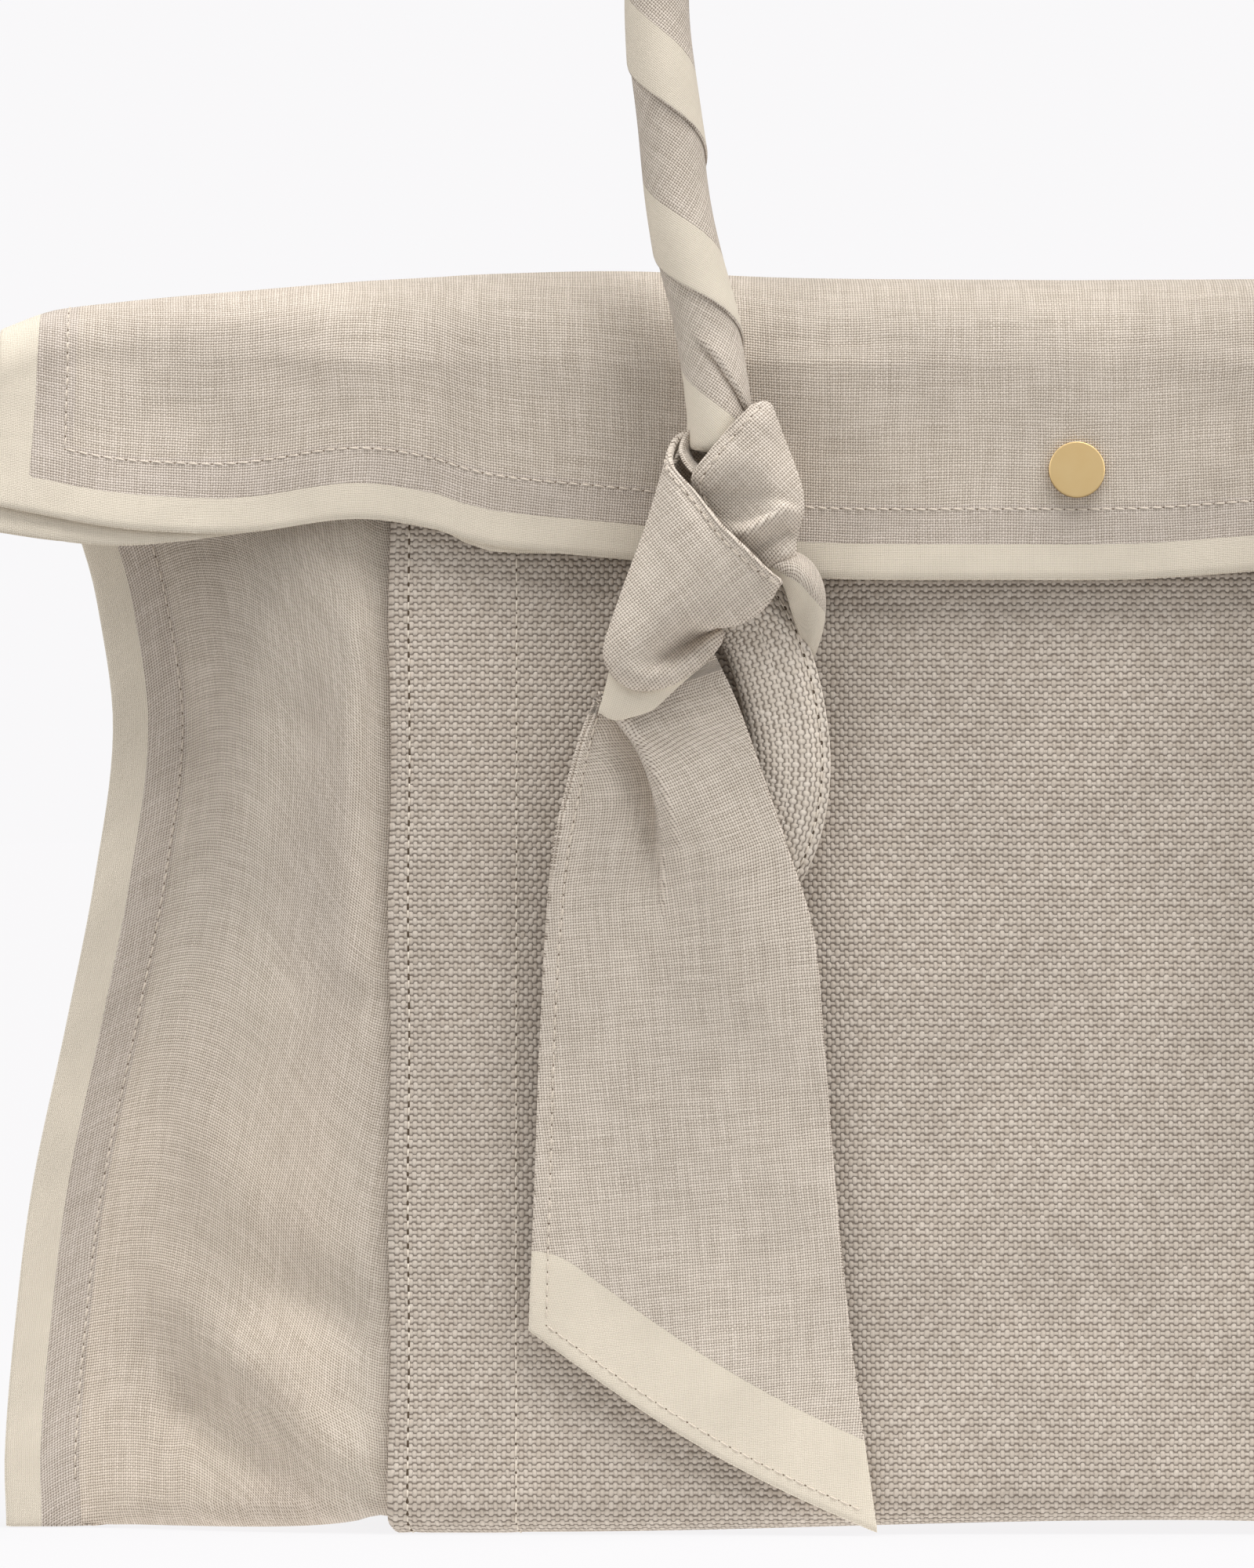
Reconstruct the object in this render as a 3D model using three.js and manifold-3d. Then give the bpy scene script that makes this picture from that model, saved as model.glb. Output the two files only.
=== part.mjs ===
import * as THREE from "three";
import { mergeVertices } from "three/addons/utils/BufferGeometryUtils.js";
import Module from "manifold-3d";

// A fold-over handbag that stands on its base, in millimetres. X runs along its width, Y from its
// front to its back and Z up. The left half is measured and the right half is its mirror image.

// Body of heavy canvas: front wall, base and back wall in one length
const bodyWidth = 364;
const baseHalfDepth = 40;
const topHalfDepth = 22;
const canvasTop = 308;
const canvasThickness = 2;
const baseCornerRadius = 10;
const baseArch = 3.2;
const baseArchCentre = 25;
const baseArchEnd = 148;
const baseEndInset = 3.5;

// Sack of fine linen: it lines the body, stands out at both sides and folds over the front
const linenThickness = 1.2;
const liningGap = 0.8;
const layerSpacing = 2.2;
const seamInset = 20;
const seamGap = 0.8;
const flapClearance = 2;
const flapEdge = 288;

// Tied scarf handle, its tails and the canvas loops that it is tied through
const handleRadius = 8.9;
const handleTwistRise = 1.1;
const handlePitch = 49;
const handleSides = 10;
const tailThickness = 2.6;
const loopWidth = 22;
const loopThickness = 7;

// Press stud in the middle of the flap
const studRadius = 7.5;
const studThickness = 1.8;
const studHeight = 282.5;
const studTilt = -0.089;
const studGap = 0.4;

const colours = {
  linen: 0xc4baac,
  canvas: 0xb8ae9f,
  scarf: 0xc0b5a5,
  gold: 0xd4b87e,
};

// Outline of the sack's side edge from the base up, half widths from the middle
const sideEdge = [
  { z: 0, x: 285 },
  { z: 18, x: 286 },
  { z: 51, x: 283.8 },
  { z: 90, x: 279.2 },
  { z: 135, x: 269.8 },
  { z: 173, x: 262.4 },
  { z: 214, x: 257.6 },
  { z: 248, x: 262 },
  { z: 264, x: 266.2 },
  { z: 290, x: 276 },
  { z: 308, x: 283.5 },
];

// Along the flap: height of the fold's crest, of the outer hem and of the hem under it
const flapLine = [
  { x: 0, crest: 334.4, hem: 253.5, under: 256 },
  { x: 75, crest: 335, hem: 254.2, under: 256.5 },
  { x: 120, crest: 336.8, hem: 259, under: 260.5 },
  { x: 158, crest: 336, hem: 263, under: 261.6 },
  { x: 171, crest: 335.2, hem: 267.1, under: 268 },
  { x: 192, crest: 334, hem: 269.8, under: 270.5 },
  { x: 222, crest: 331.4, hem: 266, under: 266 },
  { x: 240, crest: 329.8, hem: 266.1, under: 263.6 },
  { x: 256, crest: 328.2, hem: 267.4, under: 262.6 },
  { x: 274, crest: 325.8, hem: 270.6, under: 264.3 },
  { x: 288, crest: 320.8, hem: 273.4, under: 266.4 },
];

// Bottom fold of the side wings, by distance out from the canvas
const wingBottom = [
  { out: 0, z: 3.4 },
  { out: 6, z: 7.6 },
  { out: 15, z: 5.2 },
  { out: 28, z: 2.8 },
  { out: 50, z: 1.6 },
  { out: 80, z: 1.2 },
  { out: 103, z: 1.2 },
];

// Folds in the wings' front cloth: a soft trough (depth > 0) or ridge (depth < 0) between two places
const wingFolds = [
  { x1: 188, z1: 12, x2: 236, z2: 42, half: 7, depth: 4.5 },
  { x1: 236, z1: 42, x2: 256, z2: 60, half: 9, depth: 3 },
  { x1: 190, z1: 26, x2: 232, z2: 64, half: 8, depth: -3.5 },
  { x1: 186, z1: 56, x2: 212, z2: 68, half: 8, depth: 3.5 },
  { x1: 218, z1: 88, x2: 222, z2: 128, half: 11, depth: -3 },
  { x1: 192, z1: 150, x2: 190, z2: 240, half: 6, depth: -3 },
  { x1: 212, z1: 150, x2: 204, z2: 215, half: 9, depth: 2.5 },
];

// Soft dents of the canvas front
const frontDents = [
  { x: -40, z: 205, halfX: 60, halfZ: 45, depth: 1.6 },
  { x: 70, z: 120, halfX: 70, halfZ: 60, depth: 1.8 },
  { x: -150, z: 110, halfX: 30, halfZ: 70, depth: 1.2 },
  { x: 140, z: 200, halfX: 40, halfZ: 50, depth: 1.4 },
];

// Middle line of the handle from inside the left knot to the arch's spring
const handleRise = [
  { x: -94.2, y: -43, z: 272 },
  { x: -94.2, y: -43.5, z: 290 },
  { x: -95.6, y: -43.5, z: 305 },
  { x: -99.2, y: -43, z: 322 },
  { x: -102.8, y: -42, z: 337 },
  { x: -106.4, y: -40.5, z: 358 },
  { x: -109.8, y: -38, z: 384 },
  { x: -111.4, y: -36, z: 410 },
  { x: -110.9, y: -34.5, z: 430 },
];
const archRadius = 110.9;
const archSpring = 430;
const archLean = -3;

// Left tail's two long edges from the knot down, and how far it hangs in front of the middle plane
const tailEdges = [
  { at: 0, leftX: -126.5, leftZ: 222, rightX: -98, rightZ: 236, y: -47 },
  { at: 0.08, leftX: -130.6, leftZ: 212, rightX: -91, rightZ: 221, y: -46 },
  { at: 0.17, leftX: -134.4, leftZ: 198, rightX: -84.5, rightZ: 203, y: -45 },
  { at: 0.28, leftX: -138.2, leftZ: 181, rightX: -77.5, rightZ: 182.5, y: -43.8 },
  { at: 0.4, leftX: -140.9, leftZ: 156, rightX: -70.6, rightZ: 160, y: -42.4 },
  { at: 0.55, leftX: -142.6, leftZ: 127, rightX: -67.6, rightZ: 129, y: -41.4 },
  { at: 0.72, leftX: -143.6, leftZ: 98, rightX: -64.6, rightZ: 92, y: -41.6 },
  { at: 0.87, leftX: -144.6, leftZ: 74, rightX: -60.4, rightZ: 51, y: -42.3 },
  { at: 1, leftX: -145.4, leftZ: 54.5, rightX: -53.6, rightZ: 1.2, y: -42.8 },
];
const tailEndSag = 4.4;

// Folds of the tail, across from its left edge (0) to its right edge (1)
const tailFolds = [
  { across1: 0.2, at1: 0.02, across2: 0.36, at2: 0.3, half: 0.06, depth: -3.2 },
  { across1: 0.02, at1: 0.06, across2: 0.16, at2: 0.3, half: 0.09, depth: 2.2 },
  { across1: 0.62, at1: 0, across2: 0.7, at2: 0.34, half: 0.16, depth: -2.2 },
  { across1: 0.45, at1: 0.42, across2: 0.3, at2: 0.75, half: 0.2, depth: 1 },
];

// Wraps of the left knot, from the top down: outline from the front, front and back of each row
const upperWrap = [
  { z: 299.5, left: -84, right: -81.6, front: -49, back: -44 },
  { z: 294, left: -88.5, right: -79.6, front: -53.5, back: -38 },
  { z: 286, left: -95, right: -76.8, front: -55.5, back: -33 },
  { z: 278, left: -101, right: -74.2, front: -56, back: -31.2 },
  { z: 270, left: -103, right: -73.6, front: -55.5, back: -34.5 },
  { z: 265.5, left: -102.5, right: -74.8, front: -55, back: -42.6 },
  { z: 255, left: -99, right: -79, front: -51.5, back: -44 },
  { z: 250, left: -96, right: -82, front: -49, back: -44.6 },
];
const frontWrap = [
  { z: 289.5, left: -108, right: -105.6, front: -50, back: -44 },
  { z: 284, left: -109, right: -102, front: -55, back: -38 },
  { z: 276, left: -111.2, right: -97.2, front: -58.5, back: -34 },
  { z: 270, left: -113.2, right: -93.2, front: -60, back: -34.5 },
  { z: 265.5, left: -114.6, right: -90, front: -60.6, back: -42.6 },
  { z: 258, left: -117.2, right: -83.4, front: -61, back: -43.2 },
  { z: 252.5, left: -119.4, right: -78.6, front: -60.5, back: -43.4 },
  { z: 247, left: -121.6, right: -83, front: -59.5, back: -43.4 },
  { z: 241, left: -123.8, right: -93.4, front: -59, back: -43.4 },
  { z: 234, left: -125.6, right: -97.2, front: -58.5, back: -43.4 },
  { z: 228, left: -124.4, right: -102.6, front: -57, back: -43.6 },
  { z: 224, left: -119.5, right: -109.5, front: -54.5, back: -45 },
];
const lipBorder = [
  { z: 233, left: -124.8, right: -98.6, front: -54.5, back: -44 },
  { z: 227, left: -126.2, right: -103.6, front: -54, back: -44 },
  { z: 222, left: -126.8, right: -109.4, front: -52.5, back: -44 },
  { z: 219, left: -127, right: -112.7, front: -51.5, back: -44.4 },
  { z: 216.4, left: -125, right: -118.6, front: -50, back: -45.4 },
];
const hollow = { x: -105.5, y: -60.5, z: 235.2, rx: 7, ry: 8.5, rz: 5.2, tilt: 0.5 };
const sideWrap = [
  { x: -87, y: -50, z: 254 },
  { x: -81, y: -51.5, z: 256.8 },
  { x: -75, y: -50, z: 256.6 },
  { x: -71, y: -46.5, z: 252.8 },
  { x: -69.2, y: -41, z: 246.6 },
  { x: -69.6, y: -35.6, z: 241 },
  { x: -73, y: -31.9, z: 235.6 },
];

// Middle line of the left canvas loop, up its right leg, over and down its left leg
const loopLine = [
  { x: -93, y: -38, z: 168 },
  { x: -84.5, y: -38, z: 176 },
  { x: -78.8, y: -38.3, z: 188 },
  { x: -76.6, y: -38.5, z: 203 },
  { x: -77.8, y: -38.6, z: 217 },
  { x: -81.2, y: -38.6, z: 231 },
  { x: -86, y: -38.4, z: 242.5 },
  { x: -93, y: -38.2, z: 250 },
  { x: -101, y: -38.2, z: 251.5 },
  { x: -107.2, y: -38.3, z: 246 },
  { x: -110.8, y: -38.5, z: 235 },
  { x: -111.8, y: -38.5, z: 220 },
  { x: -110.8, y: -38.4, z: 202 },
  { x: -108.4, y: -38.2, z: 186 },
  { x: -104.6, y: -38, z: 172 },
];

const wasm = await Module();
wasm.setup();

// Smooth reading of one named column of a table, at a place along another
function readTable(rows, along, column, at) {
  const last = rows.length - 1;
  if (at <= rows[0][along]) return rows[0][column];
  if (at >= rows[last][along]) return rows[last][column];
  const i = rows.findIndex((row) => row[along] > at) - 1;
  const slope = (k) => {
    const before = rows[Math.max(k - 1, 0)];
    const after = rows[Math.min(k + 1, last)];
    return (after[column] - before[column]) / (after[along] - before[along]);
  };
  const step = rows[i + 1][along] - rows[i][along];
  const t = (at - rows[i][along]) / step;
  const rest = 1 - t;
  return (
    rows[i][column] * (1 + 2 * t) * rest * rest +
    slope(i) * step * t * rest * rest +
    rows[i + 1][column] * t * t * (3 - 2 * t) -
    slope(i + 1) * step * t * t * rest
  );
}

// A bump of height 1 that fades out smoothly within about twice its half width
function softBump(distance, half) {
  return Math.exp(-((distance / half) ** 2));
}

// Distance from a place to the line between two places, both in the same flat frame
function lineDistance(x, z, x1, z1, x2, z2) {
  const lengthSquared = (x2 - x1) ** 2 + (z2 - z1) ** 2;
  const along = ((x - x1) * (x2 - x1) + (z - z1) * (z2 - z1)) / lengthSquared;
  const t = THREE.MathUtils.clamp(along, 0, 1);
  return Math.hypot(x - x1 - t * (x2 - x1), z - z1 - t * (z2 - z1));
}

// Distance of the canvas's outer face from the middle plane, at a height
function faceDepth(z) {
  const up = Math.max(z, 0) / canvasTop;
  return topHalfDepth + (baseHalfDepth - topHalfDepth) * (1 - up ** 1.6);
}

// Rise of the base towards the middle of the bag
function archRise(x) {
  const reach = x < baseArchCentre ? baseArchEnd + baseArchCentre : baseArchEnd - baseArchCentre;
  const t = Math.min(Math.abs(x - baseArchCentre) / reach, 1);
  return baseArch * (0.5 + 0.5 * Math.cos(Math.PI * t));
}

// How far the front is pushed in by its soft dents
function frontDent(x, z) {
  let sum = 0;
  for (const dent of frontDents) {
    sum += dent.depth * softBump(x - dent.x, dent.halfX) * softBump(z - dent.z, dent.halfZ);
  }
  return sum;
}

// A closed sheet of cloth: a flat box with one point for each row and column, moved to its place
function clothSheet(columns, rows, thickness, middle) {
  const box = new THREE.BoxGeometry(1, 1, 1, columns, rows, 1);
  const grid = [];
  for (let i = 0; i <= columns; i++) {
    grid.push([]);
    for (let j = 0; j <= rows; j++) grid[i].push(middle(i, j));
  }
  const across = new THREE.Vector3();
  const along = new THREE.Vector3();
  const normalAt = (i, j) => {
    across.subVectors(grid[Math.min(i + 1, columns)][j], grid[Math.max(i - 1, 0)][j]);
    along.subVectors(grid[i][Math.min(j + 1, rows)], grid[i][Math.max(j - 1, 0)]);
    return across.clone().cross(along).normalize();
  };
  const points = box.attributes.position;
  for (let k = 0; k < points.count; k++) {
    const i = Math.round((points.getX(k) + 0.5) * columns);
    const j = Math.round((points.getY(k) + 0.5) * rows);
    const side = Math.sign(points.getZ(k)) * thickness * 0.5;
    const place = grid[i][j].clone().addScaledVector(normalAt(i, j), side);
    points.setXYZ(k, place.x, place.y, place.z);
  }
  return closedMesh(box);
}

// Only positions, with shared points merged
function closedMesh(geometry) {
  geometry.deleteAttribute("normal");
  geometry.deleteAttribute("uv");
  return mergeVertices(geometry, 1e-4);
}

// A closed tube of any section along a curve. section(angle, share of length) gives mm along the
// section's side direction and at right angles to it
function tubeAlong(curve, steps, sides, section, sideOf) {
  const tube = new THREE.CylinderGeometry(1, 1, 1, sides, steps, false);
  const points = tube.attributes.position;
  for (let k = 0; k < points.count; k++) {
    const share = points.getY(k) + 0.5;
    const place = curve.getPointAt(share);
    const onWall = Math.hypot(points.getX(k), points.getZ(k)) > 0.5;
    if (onWall) {
      const ahead = curve.getTangentAt(share);
      const side = sideOf(ahead);
      side.addScaledVector(ahead, -side.dot(ahead)).normalize();
      const [sideways, upright] = section(Math.atan2(points.getZ(k), points.getX(k)), share);
      place.addScaledVector(side, sideways).addScaledVector(side.clone().cross(ahead), upright);
    }
    points.setXYZ(k, place.x, place.y, place.z);
  }
  return closedMesh(tube);
}

function curveThrough(rows) {
  return new THREE.CatmullRomCurve3(rows.map((row) => new THREE.Vector3(row.x, row.y, row.z)));
}

// The same form on the right-hand side
function mirrored(geometry) {
  const copy = geometry.clone().scale(-1, 1, 1);
  const index = copy.index;
  for (let k = 0; k < index.count; k += 3) {
    const second = index.getX(k + 1);
    index.setX(k + 1, index.getX(k + 2));
    index.setX(k + 2, second);
  }
  return copy;
}

function asSolid(geometry) {
  return new wasm.Manifold(
    new wasm.Mesh({
      numProp: 3,
      vertProperties: new Float32Array(geometry.attributes.position.array),
      triVerts: new Uint32Array(geometry.index.array),
    }),
  );
}

function asGeometry(solid) {
  const mesh = solid.getMesh();
  const geometry = new THREE.BufferGeometry();
  geometry.setAttribute("position", new THREE.BufferAttribute(mesh.vertProperties, 3));
  geometry.setIndex(new THREE.BufferAttribute(mesh.triVerts, 1));
  return geometry;
}

// Canvas body

const wallHeights = [12, 30, 55, 85, 115, 145, 175, 205, 235, 262, 286, canvasTop];
const cornerSteps = 4;

// Section of a U-shaped wall, front top to back top, at a distance inside the canvas's outer face
function bodySection(inside, top) {
  const radius = baseCornerRadius - inside;
  const centreZ = baseCornerRadius;
  const centreY = baseHalfDepth - baseCornerRadius;
  const places = [];
  const heights = wallHeights.filter((z) => z < top).concat(top);
  for (const z of [...heights].reverse()) places.push({ y: inside - faceDepth(z), z });
  for (let k = 0; k <= cornerSteps; k++) {
    const angle = (k / cornerSteps) * Math.PI * 0.5;
    places.push({
      y: -centreY - radius * Math.cos(angle),
      z: centreZ - radius * Math.sin(angle),
    });
  }
  places.push({ y: 0, z: inside });
  const half = places.slice(0, -1).reverse();
  return places.concat(half.map(({ y, z }) => ({ y: -y, z })));
}

function bodyPlace(x, { y, z }) {
  const low = Math.max(0, 1 - z / 80) ** 2;
  const push = y < 0 ? frontDent(x, z) * Math.min(z / 40, 1) : 0;
  const rounded = baseEndInset * Math.max(0, 1 - z / baseCornerRadius) ** 2;
  const across = x * (1 - rounded / (bodyWidth / 2));
  return new THREE.Vector3(across, y + push, z + archRise(x) * low);
}

// Columns from the canvas's edge to the middle, which the lining behind it shares
const liningColumns = [177, 148, 112, 74, 37];
const canvasColumns = [-bodyWidth / 2, ...liningColumns.map((x) => -x), 0]
  .concat([...liningColumns].reverse(), bodyWidth / 2);

function canvasBody() {
  const section = bodySection(canvasThickness / 2, canvasTop);
  return clothSheet(canvasColumns.length - 1, section.length - 1, canvasThickness, (i, j) =>
    bodyPlace(canvasColumns[i], section[section.length - 1 - j]),
  );
}

// Linen sack

const flangeInsets = [0, 9, seamInset];
const wingShares = [0.86, 0.7, 0.54, 0.38, 0.24, 0.12, 0.04];
const halfColumns = flangeInsets.length + wingShares.length + liningColumns.length;

// Place across, in mm, of a column at a height where the side edge is at a given half width
function columnPlace(column, edge) {
  const fromEdge = Math.min(column, 2 * halfColumns - column);
  const side = column < halfColumns ? -1 : 1;
  if (fromEdge < flangeInsets.length) return side * (edge - flangeInsets[fromEdge]);
  const wing = fromEdge - flangeInsets.length;
  const seam = edge - seamInset;
  if (wing < wingShares.length) {
    return side * THREE.MathUtils.lerp(bodyWidth / 2, seam, wingShares[wing]);
  }
  const lining = wing - wingShares.length;
  return lining < liningColumns.length ? side * liningColumns[lining] : 0;
}

// 0 over the body, rising to 1 at the side seam
function wingShare(x, edge) {
  const share = (Math.abs(x) - bodyWidth / 2) / (edge - seamInset - bodyWidth / 2);
  return THREE.MathUtils.clamp(share, 0, 1);
}

// Half the distance between the front and back cloth
function sackHalf(x, z, edge) {
  const half = faceDepth(z) - canvasThickness - liningGap - linenThickness / 2;
  const share = Math.cos((wingShare(x, edge) * Math.PI) / 2);
  return layerSpacing / 2 + (half - layerSpacing / 2) * share;
}

// The wings lean forwards at the foot and sway a little
function wingSway(x, z, edge) {
  const out = wingShare(x, edge) * THREE.MathUtils.smoothstep(Math.abs(x), bodyWidth / 2, edge);
  return out * (-13 * softBump(z, 90) + 3 * Math.sin(z / 31));
}

function wingFold(x, z) {
  const fade = THREE.MathUtils.smoothstep(Math.abs(x), 184, 192);
  let sum = 0;
  for (const fold of wingFolds) {
    const distance = lineDistance(Math.abs(x), z, fold.x1, fold.z1, fold.x2, fold.z2);
    sum += fold.depth * softBump(distance, fold.half);
  }
  return sum * fade;
}

// Heights of the sack's rows: both cloths have the first, the front's small folds need the second too
const sackWalls = [14, 36, 60, 92, 115, 145, 175, 205, 235, 262, 286, 304];
const foldWalls = [24, 48, 74];
const flapSteps = 5;
const foldSteps = 8;
const footSteps = 2;
const footLift = 2;

// Rows of the front cloth: from its hem under the flap, over the fold, down and under the base
function frontRows() {
  const rows = [];
  for (let k = 0; k < flapSteps; k++) rows.push({ part: "hang", t: k / flapSteps });
  for (let k = 0; k < foldSteps; k++) rows.push({ part: "fold", t: k / foldSteps });
  const walls = sackWalls.concat(foldWalls).sort((a, b) => b - a);
  for (const z of walls) rows.push({ part: "wall", z });
  for (let k = 0; k <= footSteps; k++) rows.push({ part: "foot", t: k / footSteps });
  rows.push({ part: "bottomSeam" });
  return rows;
}

// Rows of the back cloth: from the middle of the base, up the back, over the fold to the flap's hem
function backRows() {
  const rows = [{ part: "bottomSeam" }];
  for (let k = footSteps; k >= 0; k--) rows.push({ part: "foot", t: k / footSteps });
  for (const z of sackWalls) rows.push({ part: "wall", z });
  for (let k = 1; k <= foldSteps; k++) rows.push({ part: "fold", t: 1 - k / foldSteps });
  for (let k = 1; k <= flapSteps; k++) rows.push({ part: "hang", t: 1 - k / flapSteps });
  return rows;
}

// The fold over the top at a place across, for the outer cloth or for the cloth under it
function topFold(x, outer) {
  const edge = flapEdge;
  const share = wingShare(x, edge);
  const loose = share * share * (3 - 2 * share);
  const crest = readTable(flapLine, "x", "crest", Math.abs(x)) - linenThickness / 2;
  const spring = THREE.MathUtils.lerp(312, crest - 15, loose);
  const face = faceDepth(spring);
  const lining = face - canvasThickness - liningGap - linenThickness / 2;
  const over = face + flapClearance + linenThickness + layerSpacing;
  const back = THREE.MathUtils.lerp(lining, layerSpacing / 2, loose);
  const front = THREE.MathUtils.lerp(-over + linenThickness / 2, -25, loose);
  if (outer) return { back, front, spring, crest };
  const tight = 1 - loose;
  return {
    back: THREE.MathUtils.lerp(back - layerSpacing, -lining, tight),
    front: front + layerSpacing,
    spring: THREE.MathUtils.lerp(spring, 311, tight),
    crest: THREE.MathUtils.lerp(crest - layerSpacing, 315.4, tight),
  };
}

// How far the flap stands in front of the middle plane between its fold and its hem
function flapPlace(x, z, fold, outer) {
  const edge = flapEdge;
  const share = wingShare(x, edge);
  const loose = share * share * (3 - 2 * share);
  const inner = outer ? 0 : layerSpacing;
  const hung = -(faceDepth(z) + flapClearance + linenThickness / 2 + layerSpacing) + inner;
  const away = fold.front - (fold.spring - z) * 0.16;
  const wave = 1.6 * Math.sin(Math.abs(x) / 17) * THREE.MathUtils.smoothstep(fold.spring - z, 8, 55);
  return THREE.MathUtils.lerp(hung, away, loose) - Math.abs(wave) * (0.35 + 0.65 * loose);
}

// Place of the front cloth (side -1) or the back cloth (side 1), which lies outside on the flap
function sackPlace(column, row, side) {
  const outer = side > 0;
  const low = row.part === "foot" || row.part === "bottomSeam";
  const onWall = row.part === "wall";
  const edge = low || onWall ? readTable(sideEdge, "z", "x", onWall ? row.z : 6) : flapEdge;
  const x = columnPlace(column, edge);
  if (onWall) {
    const half = sackHalf(x, row.z, edge);
    const rise = archRise(x) * Math.max(0, 1 - row.z / 80) ** 2;
    const dent = outer ? 0 : frontDent(x, row.z) * Math.min(row.z / 40, 1);
    const flat = THREE.MathUtils.smoothstep(1 - wingShare(x, edge), 0, 0.35);
    const fold = outer ? 0 : wingFold(x, row.z) * flat;
    return new THREE.Vector3(x, side * half + wingSway(x, row.z, edge) + dent + fold, row.z + rise);
  }
  if (low) {
    const half = sackHalf(x, 0, edge);
    const inside = canvasThickness + liningGap + linenThickness / 2;
    const radius = Math.min(baseCornerRadius - inside, (half - layerSpacing / 2) * 0.7);
    const bottom = readTable(wingBottom, "out", "z", Math.max(Math.abs(x) - bodyWidth / 2, 0));
    const flange = THREE.MathUtils.smoothstep(wingShare(x, edge), 0.86, 1);
    const angle = row.part === "foot" ? (row.t * Math.PI) / 2 : Math.PI / 2;
    const across = half - radius + radius * Math.cos(angle);
    const seam = THREE.MathUtils.lerp(seamGap / 2, half, flange);
    const y = side * (row.part === "foot" ? across : seam);
    const above = row.part === "foot" ? Math.max(radius, footLift) * (1 - Math.sin(angle)) : -flange * 0.5;
    return new THREE.Vector3(x, y + wingSway(x, 0, edge), bottom + archRise(x) + above);
  }
  const fold = topFold(x, outer);
  if (row.part === "fold") {
    const angle = Math.PI * (1 - row.t);
    const middle = (fold.back + fold.front) / 2;
    const reach = (fold.back - fold.front) / 2;
    const z = fold.spring + (fold.crest - fold.spring) * Math.sin(angle);
    return new THREE.Vector3(x, middle + reach * Math.cos(angle), z);
  }
  const hem = readTable(flapLine, "x", outer ? "hem" : "under", Math.abs(x));
  const z = THREE.MathUtils.lerp(hem, fold.spring, row.t);
  return new THREE.Vector3(x, flapPlace(x, z, fold, outer), z);
}

function sackCloth(rows, side) {
  return clothSheet(2 * halfColumns, rows.length - 1, linenThickness, (i, j) =>
    sackPlace(i, rows[rows.length - 1 - j], side),
  );
}

// Press stud: a flat cap with a rounded rim, on the flap's outer face
function pressStud() {
  const profile = [
    new THREE.Vector2(0, 0),
    new THREE.Vector2(studRadius - 0.5, 0),
    new THREE.Vector2(studRadius, 0.5),
    new THREE.Vector2(studRadius, studThickness - 0.5),
    new THREE.Vector2(studRadius - 0.5, studThickness),
    new THREE.Vector2(0, studThickness),
  ];
  return closedMesh(new THREE.LatheGeometry(profile, 40));
}

// Scarf handle: a twisted strap whose lapped turn stands proud, rising and falling along the arch
function handleCurve() {
  const points = handleRise.map((row) => new THREE.Vector3(row.x, row.y, row.z));
  const turn = 10;
  for (let k = 1; k < turn; k++) {
    const angle = (k / turn) * Math.PI;
    const lean = handleRise[handleRise.length - 1].y + archLean * -Math.sin(angle);
    points.push(
      new THREE.Vector3(-archRadius * Math.cos(angle), lean, archSpring + archRadius * Math.sin(angle)),
    );
  }
  for (const row of [...handleRise].reverse()) points.push(new THREE.Vector3(-row.x, row.y, row.z));
  return new THREE.CatmullRomCurve3(points);
}

function twistedHandle() {
  const curve = handleCurve();
  const length = curve.getLength();
  const steps = Math.round((length / handlePitch) * handleSides);
  const section = (angle, share) => {
    const turn = (share * steps) / handleSides - angle / (2 * Math.PI);
    const lap = (((turn % 1) + 1) % 1) - 0.5;
    const radius = handleRadius + handleTwistRise * lap;
    return [radius * Math.cos(angle), radius * Math.sin(angle)];
  };
  return tubeAlong(curve, steps, handleSides, section, () => new THREE.Vector3(0, 1, 0));
}

// One wrap of the knot: a closed form through rows, round at its left and square at its hem
function knotWrap(rows, sides) {
  const form = new THREE.CylinderGeometry(1, 1, 1, sides, rows.length - 1, false);
  const points = form.attributes.position;
  for (let k = 0; k < points.count; k++) {
    const row = rows[Math.round((0.5 - points.getY(k)) * (rows.length - 1))];
    const cos = points.getX(k);
    const sin = points.getZ(k);
    const square = cos > 0 ? 0.45 : 0.9;
    const sideways = Math.sign(cos) * Math.abs(cos) ** square;
    const forward = Math.sign(sin) * Math.abs(sin) ** 0.8;
    points.setXYZ(
      k,
      (row.left + row.right) / 2 + (sideways * (row.right - row.left)) / 2,
      (row.front + row.back) / 2 - (forward * (row.back - row.front)) / 2,
      row.z,
    );
  }
  return closedMesh(form);
}

function hollowCut() {
  const ball = new THREE.SphereGeometry(1, 10, 8);
  ball.scale(hollow.rx, hollow.ry, hollow.rz);
  ball.rotateY(-hollow.tilt);
  ball.translate(hollow.x, hollow.y, hollow.z);
  return closedMesh(ball);
}

function sideWrapForm() {
  const section = (angle) => [2.1 * Math.cos(angle), 4.2 * Math.sin(angle)];
  return tubeAlong(curveThrough(sideWrap), 14, 8, section, () => new THREE.Vector3(1, 0, 1));
}

// The left tail: two layers of scarf pressed flat, cut on a slant at the foot
const tailColumns = 10;
const tailRows = 17;

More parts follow.
